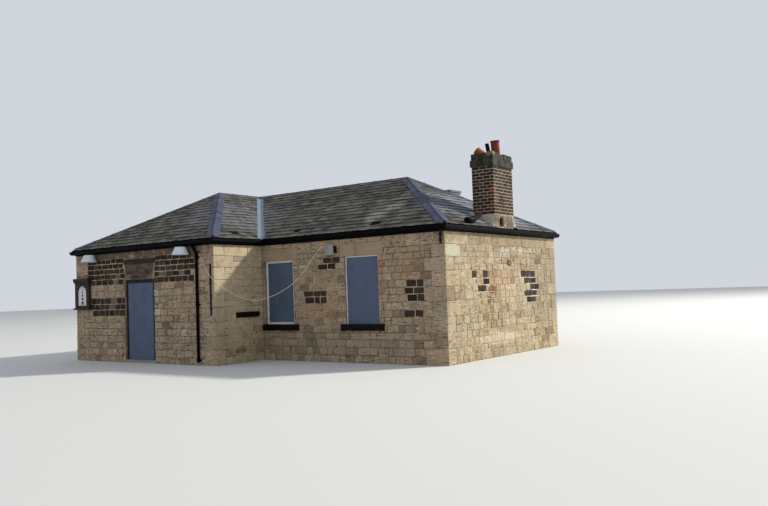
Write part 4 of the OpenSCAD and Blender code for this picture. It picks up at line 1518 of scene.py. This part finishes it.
@dataclass
class Slating:
    """Single slates over one slope, cut at hips, ridge and valley, and round a chimney."""

    slope: SlopeFace
    notch: Rect | None = None
    missing: tuple[Plan, ...] = ()
    first_row: float = -0.105
    gauge: float = SLATE_GAUGE
    width: Plan = (0.23, 0.34)
    overrun: float = 0.3
    thick: float = 0.007
    gap: float = 0.002
    tail_lift: float = 0.015
    head_lift: float = 0.002
    half_step: float = 0.14
    hip_clear: float = 0.03
    valley_clear: float = 0.112
    least_area: float = 0.0008

    def build(self) -> bpy.types.Object:
        """Lays every slate.

        Returns:
            The finished slates.
        """
        wall = self.slope.wall
        pick = random.Random(wall.seed + 50)
        bed = UnitBed(f"{wall.name}_slates", SLATE, "slate", 0.0015, 0.985, 0.004, wall.seed)
        ring = [self.slope.local(corner) for corner in self.slope.corners]
        limits = self._limits(ring)
        low, high, _, top = span(ring)
        row, bottom = 0, self.first_row
        while bottom < top:
            here = low - self.overrun + self.half_step * (row % 2) + pick.uniform(-0.03, 0.03)
            shade = pick.uniform(0.15, 0.85)
            while here < high + self.overrun:
                width = pick.uniform(*self.width)
                left, right = here + self.gap, here + width - self.gap
                tail, head = bottom + pick.uniform(-0.006, 0.006), bottom + self.gauge + SLATE_LAP
                dip = pick.uniform(-0.004, 0.004)
                flat = [(left, tail), (right, tail + dip), (right, head), (left, head)]
                for normal, limit in limits:
                    flat = clip(flat, normal, limit)
                tone, lean = pick.triangular(0.0, 1.0, shade), pick.uniform(-0.002, 0.003)
                for part in self._round_notch(flat):
                    if len(part) > 2 and not self._gone(part):
                        bed.lay(self._corners(part, bottom, lean), self.thick, tone)
                here += width
            row, bottom = row + 1, bottom + self.gauge
        return bed.build()

    def _limits(self, ring: list[Plan]) -> list[tuple[Plan, float]]:
        """Finds the straight cuts at the slope's edges: under the tiles, or along the valley.

        Args:
            ring: The slope's corners as places on the slope.

        Returns:
            Direction and reach of each cut.
        """
        limits = []
        for number, here in enumerate(ring):
            following = (number + 1) % len(ring)
            along = Vector(ring[following]) - Vector(here)
            normal = Vector((along.y, -along.x)).normalized()
            if abs(along.y) > 1e-6 or here[1] > 0:
                ends = {self.slope.corners[number], self.slope.corners[following]}
                clear = self.valley_clear if ends == {VALLEY_FOOT, RIDGE_TURN} else self.hip_clear
                limits.append(((normal.x, normal.y), normal.dot(Vector(here)) - clear))
        return limits

    def _round_notch(self, flat: list[Plan]) -> list[list[Plan]]:
        """Splits a slate that meets the chimney.

        Args:
            flat: The slate's outline.

        Returns:
            What lies clear of the chimney.
        """
        if not self.notch or len(flat) < 3 or not overlap(span(flat), self.notch):
            return [flat]
        left, right, low, high = self.notch
        middle = clip(clip(flat, (-1.0, 0.0), -left), (1.0, 0.0), right)
        return [
            clip(flat, (1.0, 0.0), left),
            clip(flat, (-1.0, 0.0), -right),
            clip(middle, (0.0, -1.0), -high),
            clip(middle, (0.0, 1.0), low),
        ]

    def _gone(self, part: list[Plan]) -> bool:
        """Says whether this slate is a sliver or has fallen off.

        Args:
            part: The slate's outline.

        Returns:
            Whether it is left out.
        """
        left, right, low, high = span(part)
        if (right - left) * (high - low) < self.least_area:
            return True
        return any(left < x < right and low < y < high - SLATE_LAP for x, y in self.missing)

    def _corners(self, part: list[Plan], bottom: float, lean: float) -> list[Vector]:
        """Sets one slate's corners so that its tail lies on the heads below.

        Args:
            part: The slate's outline.
            bottom: Where its row starts.
            lean: How much it is lifted more than the others.

        Returns:
            The corners.
        """
        corners = []
        for along, inward in part:
            share = (inward - bottom) / (self.gauge + SLATE_LAP)
            lift = self.tail_lift + lean + (self.head_lift - self.tail_lift) * share
            corners.append(self.slope.at(along, inward, lift))
        return corners


@dataclass
class Capping:
    """Angled capping tiles along the ridges or hips, lapped over each other."""

    name: str
    runs: tuple[tuple[Plan, Plan], ...]
    half_width: float
    fall: float
    node: str
    tile: float = 0.6
    thick: float = 0.012
    lift: float = 0.024
    roll: float = 0.014
    lip: float = 0.006

    def build(self) -> bpy.types.Object:
        """Sets the tiles along every run.

        Returns:
            The finished tiles.
        """
        spots = []
        for start, end in self.runs:
            a, b = self._ridge_point(start), self._ridge_point(end)
            along = b - a
            count = max(1, round(along.length / self.tile))
            turn = (0.0, -math.atan2(along.z, along.xy.length), math.atan2(along.y, along.x))
            size = (along.length / count, 1.0, 1.0)
            spots += [(a + along * (number / count), turn, size) for number in range(count)]
        return hand_over(scatter(self.name, self._tile(), spots, CAPPING), "roof_tile", self.node)

    def _ridge_point(self, plan: Plan) -> Vector:
        """Finds the point on top of the slates' meeting line over a place in plan.

        Args:
            plan: The place.

        Returns:
            The point.
        """
        x, y = plan
        front = max(min(y, MAIN_RIGHT - x), min(y + WING_OUT, -x))
        inward = min(x + BACK_EDGE, BACK_EDGE - y, front)
        return Vector((x, y, SLATE_BASE + inward * ROOF_RISE + self.lift)) + ROW_SHIFT

    def _tile(self) -> bpy.types.Mesh:
        """Makes one tile of unit length: two wings, a roll and a lapped lip at its lower end.

        Returns:
            The tile.
        """
        edge, fall, foot = self.half_width, self.fall, self.roll * 1.2
        top = [(-edge, -edge * fall), (-foot, -foot * fall)]
        for angle in (math.radians(a) for a in (160, 125, 90, 55, 20)):
            top.append((self.roll * math.cos(angle), self.roll * math.sin(angle) - 0.004))
        top += [(foot, -foot * fall), (edge, -edge * fall)]
        low = [(edge, -edge * fall - self.thick), (0.0, -self.thick), (-edge, -edge * fall - self.thick)]
        work = bmesh.new()
        rings = [
            [work.verts.new((x, y, z + lip)) for y, z in top] + [work.verts.new((x, y, z)) for y, z in low]
            for x, lip in ((0.0, 0.0), (0.9, 0.0), (0.9, self.lip), (1.02, self.lip))
        ]
        skin(work, rings)
        return to_mesh(work, "capping tile")


@dataclass(frozen=True)
class Side:
    """One side of the chimney: its start, its direction, its outward direction and its length."""

    start: Vector
    right: Vector
    out: Vector
    length: float

    def at(self, along: float, high: float) -> Vector:
        """Returns the bedded point of the side at a distance along and a height."""
        return self.start + self.right * along + self.out * BEDDED + Vector((0.0, 0.0, high))


@dataclass
class BrickStack:
    """The end chimney's bricks over its solid core, its base's stones and its cap."""

    low: Vector = field(default_factory=lambda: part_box("chimney_stack")[0])
    high: Vector = field(default_factory=lambda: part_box("chimney_stack")[1])
    courses: int = 15
    brick: float = 0.222
    joint: float = 0.0125
    wander: float = 0.002
    corner_reach: float = 0.004
    least: float = 0.03
    thick: float = 0.006
    cap_courses: tuple[Plan, ...] = ((0.19, 0.045), (0.18, 0.018))
    base_rows: tuple[Plan, ...] = ((3.39, 3.60), (3.60, 3.795))
    base_width: Plan = (0.24, 0.46)
    base_thick: float = 0.008
    base_tones: tuple[float, ...] = (0.1, 0.5, 0.8, 0.95)
    recess: Rect = (0.235, 0.515, 3.44, 3.75)

    def __post_init__(self) -> None:
        """Starts the chimney's seeded random numbers and its two beds."""
        self.pick = random.Random(77)
        self.bricks = UnitBed("chimney_bricks", BRICK, "brick", 0.0025, 0.96, 0.004, 7)
        self.stones = UnitBed("chimney_base_stones", SIDE_STONE, "side_stone", 0.004, 0.95, 0.014, 8)

    def build(self) -> None:
        """Builds the bricks, the base's stones and the cap."""
        for side in self._sides():
            self._lay(side)
            if side.out.y > -0.5:
                self._base(side)
        self.bricks.build()
        self.stones.build()
        self._cap()

    def _cap(self) -> None:
        """Lays the oversailing course and the rough upper course of the chimney's cap."""
        work, pick = bmesh.new(), self.pick
        a, b, base = self.low, self.high, self.high.z
        for rise, out in self.cap_courses:
            left, right, front, back = a.x - out, b.x + out, a.y - out, b.y + out
            cuts = [front, front + 0.36, (front + back) / 2 + 0.1, back - 0.3, back]
            for y0, y1 in zip(cuts, cuts[1:]):
                middle = (left + right) / 2 + pick.uniform(-0.08, 0.08)
                for x0, x1 in ((left, middle), (middle, right)):
                    top = base + rise - (pick.uniform(0.0, 0.035) if out < 0.03 else 0.0)
                    edge = 0.003 + pick.uniform(0.0, 0.008)
                    block(work, (x0 + edge, y0 + 0.003, base + 0.002), (x1 - edge, y1 - 0.003, top), 0.012)
            base += rise
        low, high = (b.x - 0.16, a.y - 0.01, b.z + 0.3), (b.x + 0.01, a.y + 0.15, b.z + 0.39)
        block(work, low, high, 0.02)
        hand_over(finish_mesh(work, "chimney_cap_stones", CAP_STONE), "cap_stone", "chimney_cap")

    def _sides(self) -> list[Side]:
        """Finds the four sides of the stack.

        Returns:
            The sides, in their order round it.
        """
        a, b = self.low, self.high
        wide, deep = b.x - a.x, b.y - a.y
        x, y = Vector((1.0, 0.0, 0.0)), Vector((0.0, 1.0, 0.0))
        return [
            Side(Vector((a.x, a.y, 0.0)), x, -y, wide),
            Side(Vector((b.x, a.y, 0.0)), y, x, deep),
            Side(Vector((b.x, b.y, 0.0)), -x, y, wide),
            Side(Vector((a.x, b.y, 0.0)), -y, -x, deep),
        ]

    def _lay(self, side: Side) -> None:
        """Lays one side's bricks in half-lapped courses.

        Args:
            side: The side.
        """
        pick, length, joint = self.pick, side.length, self.joint
        height = (self.high.z - self.low.z) / self.courses
        for course in range(self.courses):
            low = self.low.z + course * height
            here = -self.brick / 2 if course % 2 else 0.0
            while here < length - 0.01:
                left, right = max(here, 0.0), min(here + self.brick, length)
                here += self.brick
                if right - left < self.least:
                    continue
                across = (
                    left + joint if left > 0 else -self.corner_reach,
                    right - joint if right < length else length + self.corner_reach,
                )
                up = (low + joint, low + height - joint)
                corners = []
                for i, j in ((0, 0), (1, 0), (1, 1), (0, 1)):
                    x, z = (place + pick.uniform(-self.wander, self.wander) for place in (across[i], up[j]))
                    corners.append(side.at(x, z))
                soot = pick.uniform(0.2, 0.8) if pick.random() < 0.25 + 0.03 * course else 0.0
                self.bricks.lay(corners, self.thick, pick.uniform(0.0, 1.0) ** 1.3, soot)

    def _base(self, side: Side) -> None:
        """Lays big pale stones round the chimney's base, clear of its round-headed recess.

        Args:
            side: The side.
        """
        pick = self.pick
        for low, high in self.base_rows:
            here = 0.0
            while here < side.length - 0.05:
                width = min(pick.uniform(*self.base_width), side.length - here)
                rects = [(here + 0.005, here + width - 0.005, low + 0.004, high - 0.004)]
                if side.out.x > 0.5:
                    rects = without(rects, self.recess, self.least)
                for left, right, bottom, top in rects:
                    ring = ((left, bottom), (right, bottom), (right, top), (left, top))
                    tone, soot = pick.choice(self.base_tones), 0.4 * (pick.random() < 0.3)
                    self.stones.lay([side.at(x, z) for x, z in ring], self.base_thick, tone, soot)
                here += width


@dataclass
class Cable:
    """The cable slung from the junction box round the wing's corner to its clip."""

    radius: float = 0.009
    steps: int = 3
    sides: int = 10
    route: tuple[Place, ...] = (
        (2.415, -0.070, 3.085), (2.375, -0.078, 3.082), (2.325, -0.112, 3.050),
        (2.270, -0.165, 2.975), (2.195, -0.230, 2.850), (2.095, -0.306, 2.675),
        (1.960, -0.405, 2.430), (1.800, -0.525, 2.210), (1.620, -0.658, 2.035),
        (1.430, -0.800, 1.895), (1.240, -0.940, 1.790), (1.050, -1.080, 1.725),
        (0.880, -1.207, 1.705), (0.700, -1.340, 1.750), (0.520, -1.474, 1.835),
        (0.350, -1.602, 1.945), (0.200, -1.716, 2.075), (0.090, -1.806, 2.200),
        (0.000, -1.866, 2.310), (-0.100, -1.892, 2.425), (-0.200, -1.884, 2.545),
        (-0.320, -1.862, 2.695), (-0.430, -1.850, 2.850), (-0.510, -1.850, 2.965),
        (-0.535, -1.850, 3.040),
    )

    def path(self) -> list[Vector]:
        """Draws the smooth line through the route.

        Returns:
            The points of the line.
        """
        points = [Vector(place) + ROW_SHIFT for place in self.route]
        last = len(points) - 1
        line = []
        for i in range(last):
            a, b, c, d = points[max(i - 1, 0)], points[i], points[i + 1], points[min(i + 2, last)]
            square, cube = 2 * a - 5 * b + 4 * c - d, 3 * b - a - 3 * c + d
            for t in (k / self.steps for k in range(self.steps)):
                line.append(0.5 * (2 * b + (c - a) * t + square * t * t + cube * t * t * t))
        return [*line, points[last]]

    def build(self) -> bpy.types.Object:
        """Returns:
            The finished cable.
        """
        line = self.path()
        last = len(line) - 1
        across = (line[last] - line[0]).normalized().cross(Vector((0.0, 0.0, 1.0))).normalized()
        ways = [(line[min(i + 1, last)] - line[max(i - 1, 0)]).normalized() for i in range(last + 1)]
        ways[0], ways[last] = Vector((-1.0, 0.0, 0.0)), Vector((0.0, 0.0, 1.0))
        work = bmesh.new()
        rings = [round_ring(work, *spot, across, self.radius, self.sides) for spot in zip(line, ways)]
        skin(work, rings, True)
        piece = finish_mesh(work, "slung_cable", CABLE_SHEATH)
        hand_over(piece, "cable_sheath", "cable")
        return piece


@dataclass
class Fittings:
    """The sign's motif, the junction box, the sheets' fixings, the gutters' brackets and loose iron."""

    sign_middle: float = 0.4
    sign_face: float = 0.072
    sign_low: float = 1.695
    lozenges: tuple[Place, ...] = (
        (0.09, 0.05, 0.085),
        (0.2, 0.055, 0.06),
        (0.31, 0.05, 0.045),
        (0.41, 0.045, 0.032),
        (0.49, 0.03, 0.02),
    )
    elbow: tuple[Place, ...] = (
        (6.165, 1.02, 3.55), (6.15, 1.3, 3.56), (6.13, 1.43, 3.57), (6.1, 1.54, 3.605), (5.97, 2.02, 3.74),
    )
    flue: tuple[Place, ...] = ((5.72, 3.2, 5.44), (5.66, 3.18, 5.82))
    haunches: tuple[tuple[Place, Place], ...] = (
        ((5.86, 3.7, 3.44), (6.125, 3.83, 3.57)),
        ((5.9, 3.7, 3.55), (6.12, 3.78, 3.7)),
    )
    trim_half: float = 0.525
    door_sheets: tuple[tuple[WallFace, float], ...] = ((WING_FRONT, 3.13), (BACK, 8.22))
    door_half: float = 0.54
    screw: float = 0.008
    bracket_step: float = 0.9

    def build(self) -> None:
        """Builds each small piece."""
        self._motif()
        self._junction_box()
        self._window_trim()
        self._screws()
        self._gutter_brackets()
        self._loose_iron()
        self._haunch()

    def _loose_iron(self) -> None:
        """Makes the fallen elbow that lies on the end slope and the thin flue between the pots."""
        for name, line, radius, bore in (
            ("fallen_elbow", self.elbow, 0.072, 0.062),
            ("flue_stub", self.flue, 0.055, 0.045),
        ):
            work = bmesh.new()
            tube(work, line, radius, bore)
            hand_over(finish_mesh(work, f"{name}_tube", BLACK_PAINT), "iron", name)

    def _haunch(self) -> None:
        """Beds rough lumps of mortar against the chimney's base where it meets the end slope."""
        work = bmesh.new()
        for low, high in self.haunches:
            block(work, Vector(low) + ROW_SHIFT, Vector(high) + ROW_SHIFT, 0.03)
        hand_over(finish_mesh(work, "chimney_haunch", MORTAR), "mortar")

    def _motif(self) -> None:
        """Makes a plain stack of lozenges between two bars on the sign's panel."""
        work = bmesh.new()
        for middle, half_height, half_width in self.lozenges:
            z = self.sign_low + middle
            ring = ((0.0, z - half_height), (half_width, z), (0.0, z + half_height), (-half_width, z))
            front, back = (
                [work.verts.new(WING_FRONT.at(self.sign_middle + x, h, depth)) for x, h in ring]
                for depth in (self.sign_face + 0.0035, self.sign_face - 0.001)
            )
            work.faces.new(front)
            work.faces.new(back[::-1])
            for k in range(4):
                work.faces.new((front[k - 1], back[k - 1], back[k], front[k]))
        for z in (0.03, 0.545):
            low = WING_FRONT.at(self.sign_middle - 0.11, self.sign_low + z, self.sign_face + 0.003)
            high = WING_FRONT.at(self.sign_middle + 0.11, self.sign_low + z + 0.012, self.sign_face - 0.001)
            block(work, [min(a, b) for a, b in zip(low, high)], [max(a, b) for a, b in zip(low, high)])
        hand_over(finish_mesh(work, "sign_motif", MOTIF), "sign_enamel")

    def _junction_box(self) -> None:
        """Makes the box with its lid, gland and knob, and the rusty bracket beside it."""
        left, right, low, high = 2.4395, 2.7245, 2.83, 3.12
        work, at = bmesh.new(), MAIN_FRONT.at
        block(work, at(left, low, 0.112), at(right, high, 0.0), 0.012)
        block(work, at(left + 0.012, low + 0.012, 0.12), at(right - 0.012, high - 0.012, 0.1), 0.006)
        for x in (left + 0.035, right - 0.035):
            for z in (low + 0.035, high - 0.035):
                place = Matrix.Translation(at(x, z, 0.114))
                bmesh.ops.create_uvsphere(work, u_segments=10, v_segments=6, radius=0.008, matrix=place)
        knob = Matrix.Translation(at(2.612, 3.148, 0.06))
        lying = Matrix.Rotation(-math.pi / 2, 4, "Y")
        gland = Matrix.Translation(at(left - 0.0105, high - 0.035, 0.07)) @ lying
        for place, wide, narrow, depth in ((knob, 0.02, 0.014, 0.06), (gland, 0.015, 0.0105, 0.029)):
            sizes = {"radius1": wide, "radius2": narrow, "depth": depth}
            bmesh.ops.create_cone(work, cap_ends=True, segments=20, matrix=place, **sizes)
        hand_over(finish_mesh(work, "junction_box_shell", BOX_PLASTIC), "box_plastic", "junction_box")
        work = bmesh.new()
        block(work, at(right - 0.001, 2.89, 0.088), at(right + 0.059, 3.07, 0.0), 0.006)
        block(work, at(right + 0.01, 2.9, 0.09), at(right + 0.05, 2.93, 0.07), 0.003)
        hand_over(finish_mesh(work, "box_bracket", IRON), "iron")

    def _window_trim(self) -> None:
        """Makes the pale strips round the second window's sheet, sprung loose at one side."""
        work, at = bmesh.new(), MAIN_FRONT.at
        middle = MAIN_FRONT.windows[1].middle
        left, right, low, high = middle - self.trim_half, middle + self.trim_half, 1.0, 2.76
        for x0, x1, z0, z1, depth in (
            (left - 0.014, left + 0.016, low, high, -0.034),
            (right - 0.012, right + 0.01, low + 0.02, high - 0.01, -0.036),
            (left, right, high - 0.018, high + 0.01, -0.036),
        ):
            block(work, at(x0, z0, depth + 0.006), at(x1, z1, depth - 0.006), 0.002)
        hand_over(finish_mesh(work, "window_trim", FRAME_PAINT), "frame_timber")

    def _screws(self) -> None:
        """Sets domed screw heads round the edges of every sheet."""
        work = bmesh.new()
        bmesh.ops.create_uvsphere(work, u_segments=8, v_segments=5, radius=1.0)
        points: list[Vector] = []
        for face in FACES:
            for number, window in enumerate(face.windows):
                proud = face is MAIN_FRONT and number == 1
                half, low, high, depth = (0.5, 1.04, 2.72, -0.038) if proud else (0.45, 1.09, 2.69, -0.07)
                left, right = window.middle - half, window.middle + half
                points += self._edge_points(face, (left, right, low, high), depth)
        for face, middle in self.door_sheets:
            left, right = middle - self.door_half, middle + self.door_half
            points += self._edge_points(face, (left, right, 0.12, 2.27), -0.038)
        spots = [(point, (0.0, 0.0, 0.0), (self.screw,) * 3) for point in points]
        hand_over(scatter("sheet_screws", to_mesh(work, "screw head"), spots, IRON), "iron")

    @staticmethod
    def _edge_points(face: WallFace, sheet: Rect, depth: float) -> list[Vector]:
        """Spreads points evenly round the edge of one sheet.

        Args:
            face: The wall that the sheet is in.
            sheet: The sheet's left, right, low and high.
            depth: How far its face stands out.

        Returns:
            The points.
        """
        left, right, low, high = sheet
        rows, middle, inset = 6, (left + right) / 2, 0.35 * (right - left) / 2
        heights = [low + (high - low) * k / rows for k in range(rows + 1)]
        places = [(x, z) for x in (left, right) for z in heights]
        places += [(x, z) for x in (middle - inset, middle + inset) for z in (low, high)]
        return [face.at(x, z, depth) for x, z in places]

    def _gutter_brackets(self) -> None:
        """Hangs strap brackets under the gutters, all along their runs."""
        inner, outer, half = 0.0605, 0.0655, 0.016
        section = ((inner, -half), (outer, -half), (outer, half), (inner, half))
        work, rings = bmesh.new(), []
        for angle in (math.radians(180 + step * 14) for step in range(11)):
            rings.append([work.verts.new((x, -math.cos(angle) * r, math.sin(angle) * r)) for r, x in section])
        skin(work, rings)
        spots = []
        for face in FACES:
            count = max(2, round(face.length / self.bracket_step))
            turn = (0.0, 0.0, math.atan2(face.right[1], face.right[0]))
            for number in range(count):
                place = face.at(face.length * (number + 0.5) / count, 3.33, 0.09)
                spots.append((place, turn, (1.0, 1.0, 1.0)))
        piece = scatter("gutter_brackets", to_mesh(work, "bracket"), spots, BLACK_PAINT)
        hand_over(piece, "black_paint")


@dataclass(frozen=True)
class Studio:
    """The pale floor, the soft lights and the camera at the photograph's angle."""

    eye: Place = (16.144, -18.189, 1.865)
    yaw: float = 0.6293
    pitch: float = 0.0468
    roll: float = -0.0343
    lens: float = 36.89
    sensor: float = 36.0
    floor_half: float = 150.0
    floor_colour: Colour = (0.55, 0.55, 0.54)
    key_from: Place = (0.56, 0.60, 0.575)
    key_aim: Place = (2.0, 0.0, 2.0)
    key_colour: Colour = (1.0, 0.96, 0.88)
    key_distance: float = 90.0
    key_size: float = 7.0
    key_power: float = 112000.0
    sky: Colour = (0.88, 0.93, 1.0)
    sky_strength: float = 0.72

    def build_camera(self) -> None:
        """Sets the camera where the photograph was taken."""
        level, right = math.cos(self.pitch), Vector((math.cos(self.yaw), math.sin(self.yaw), 0.0))
        sight = Vector((-math.sin(self.yaw) * level, math.cos(self.yaw) * level, math.sin(self.pitch)))
        up = right.cross(sight)
        tilted = right * math.cos(self.roll) + up * math.sin(self.roll)
        upright = up * math.cos(self.roll) - right * math.sin(self.roll)
        turn = Matrix((tilted, upright, -sight)).transposed().to_4x4()
        data = bpy.data.cameras.new("camera")
        data.lens, data.sensor_width = self.lens, self.sensor
        data.clip_end = 400.0
        camera = bpy.data.objects.new("camera", data)
        camera.matrix_world = Matrix.Translation(self.eye) @ turn
        bpy.context.scene.collection.objects.link(camera)
        bpy.context.scene.camera = camera

    def build_stage(self) -> None:
        """Lays the floor and sets the key light and the even sky."""
        half = self.floor_half
        mesh = bpy.data.meshes.new("studio_floor")
        corners = [(-half, -half, 0.0), (half, -half, 0.0), (half, half, 0.0), (-half, half, 0.0)]
        mesh.from_pydata(corners, [], [(0, 1, 2, 3)])
        material = bpy.data.materials.new("studio floor")
        material.use_nodes = True
        inputs = material.node_tree.nodes["Principled BSDF"].inputs
        inputs["Base Color"].default_value = (*self.floor_colour, 1.0)
        inputs["Roughness"].default_value = 0.9
        mesh.materials.append(material)
        show(mesh, "studio_floor")
        away = Vector(self.key_from).normalized()
        light = bpy.data.lights.new("key", "AREA")
        light.shape, light.size, light.energy = "DISK", self.key_size, self.key_power
        light.color = self.key_colour
        key = bpy.data.objects.new("key", light)
        key.location = Vector(self.key_aim) + away * self.key_distance
        key.rotation_mode = "QUATERNION"
        key.rotation_quaternion = (-away).to_track_quat("-Z", "Y")
        bpy.context.scene.collection.objects.link(key)
        world = bpy.data.worlds.new("studio sky")
        world.use_nodes = True
        background = world.node_tree.nodes["Background"]
        background.inputs["Color"].default_value = (*self.sky, 1.0)
        background.inputs["Strength"].default_value = self.sky_strength
        bpy.context.scene.world = world
        bpy.context.scene.view_settings.view_transform = "Standard"


def dress_nodes() -> None:
    """Gives every CAD node that stays its finish."""
    for finish, names in NODE_FINISHES:
        for name in names.split():
            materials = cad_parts[name].data.materials
            materials.clear()
            materials.append(finish.material())


def main() -> None:
    """Builds the camera, the cable, and then every piece of the station building."""
    logging.basicConfig(level=logging.INFO, format="%(name)s: %(message)s")
    studio = Studio()
    studio.build_camera()
    Cable().build()
    for face in FACES:
        Stonework(face, WING_COURSES if face is WING_FRONT else COURSES).build()
    notches = {"end": (2.605, 3.705, -1.0, 0.64), "back": (3.2, 4.3, -1.0, 0.64)}
    missing = {"main_front": ((1.3, 0.2), (3.8, 0.2)), "wing_side": ((1.1, 0.2),)}
    for slope in roof_slopes():
        name = slope.wall.name
        Slating(slope, notches.get(name), missing.get(name, ())).build()
    ridges = ((MAIN_PEAK, RIDGE_TURN), (WING_PEAK, RIDGE_TURN))
    hips = (
        (MAIN_PEAK, (6.15, -0.03)),
        (MAIN_PEAK, (6.15, 6.34)),
        (RIDGE_TURN, (-6.34, 6.34)),
        (WING_PEAK, (0.03, -1.855)),
        (WING_PEAK, (-6.34, -1.855)),
    )
    Capping("ridge_capping", ridges, 0.15, 0.538, "ridge_tiles").build()
    Capping("hip_capping", hips, 0.17, 0.356, "hip_tiles", lift=0.032).build()
    BrickStack().build()
    Fittings().build()
    dress_nodes()
    studio.build_stage()


if __name__ == "__main__":
    main()
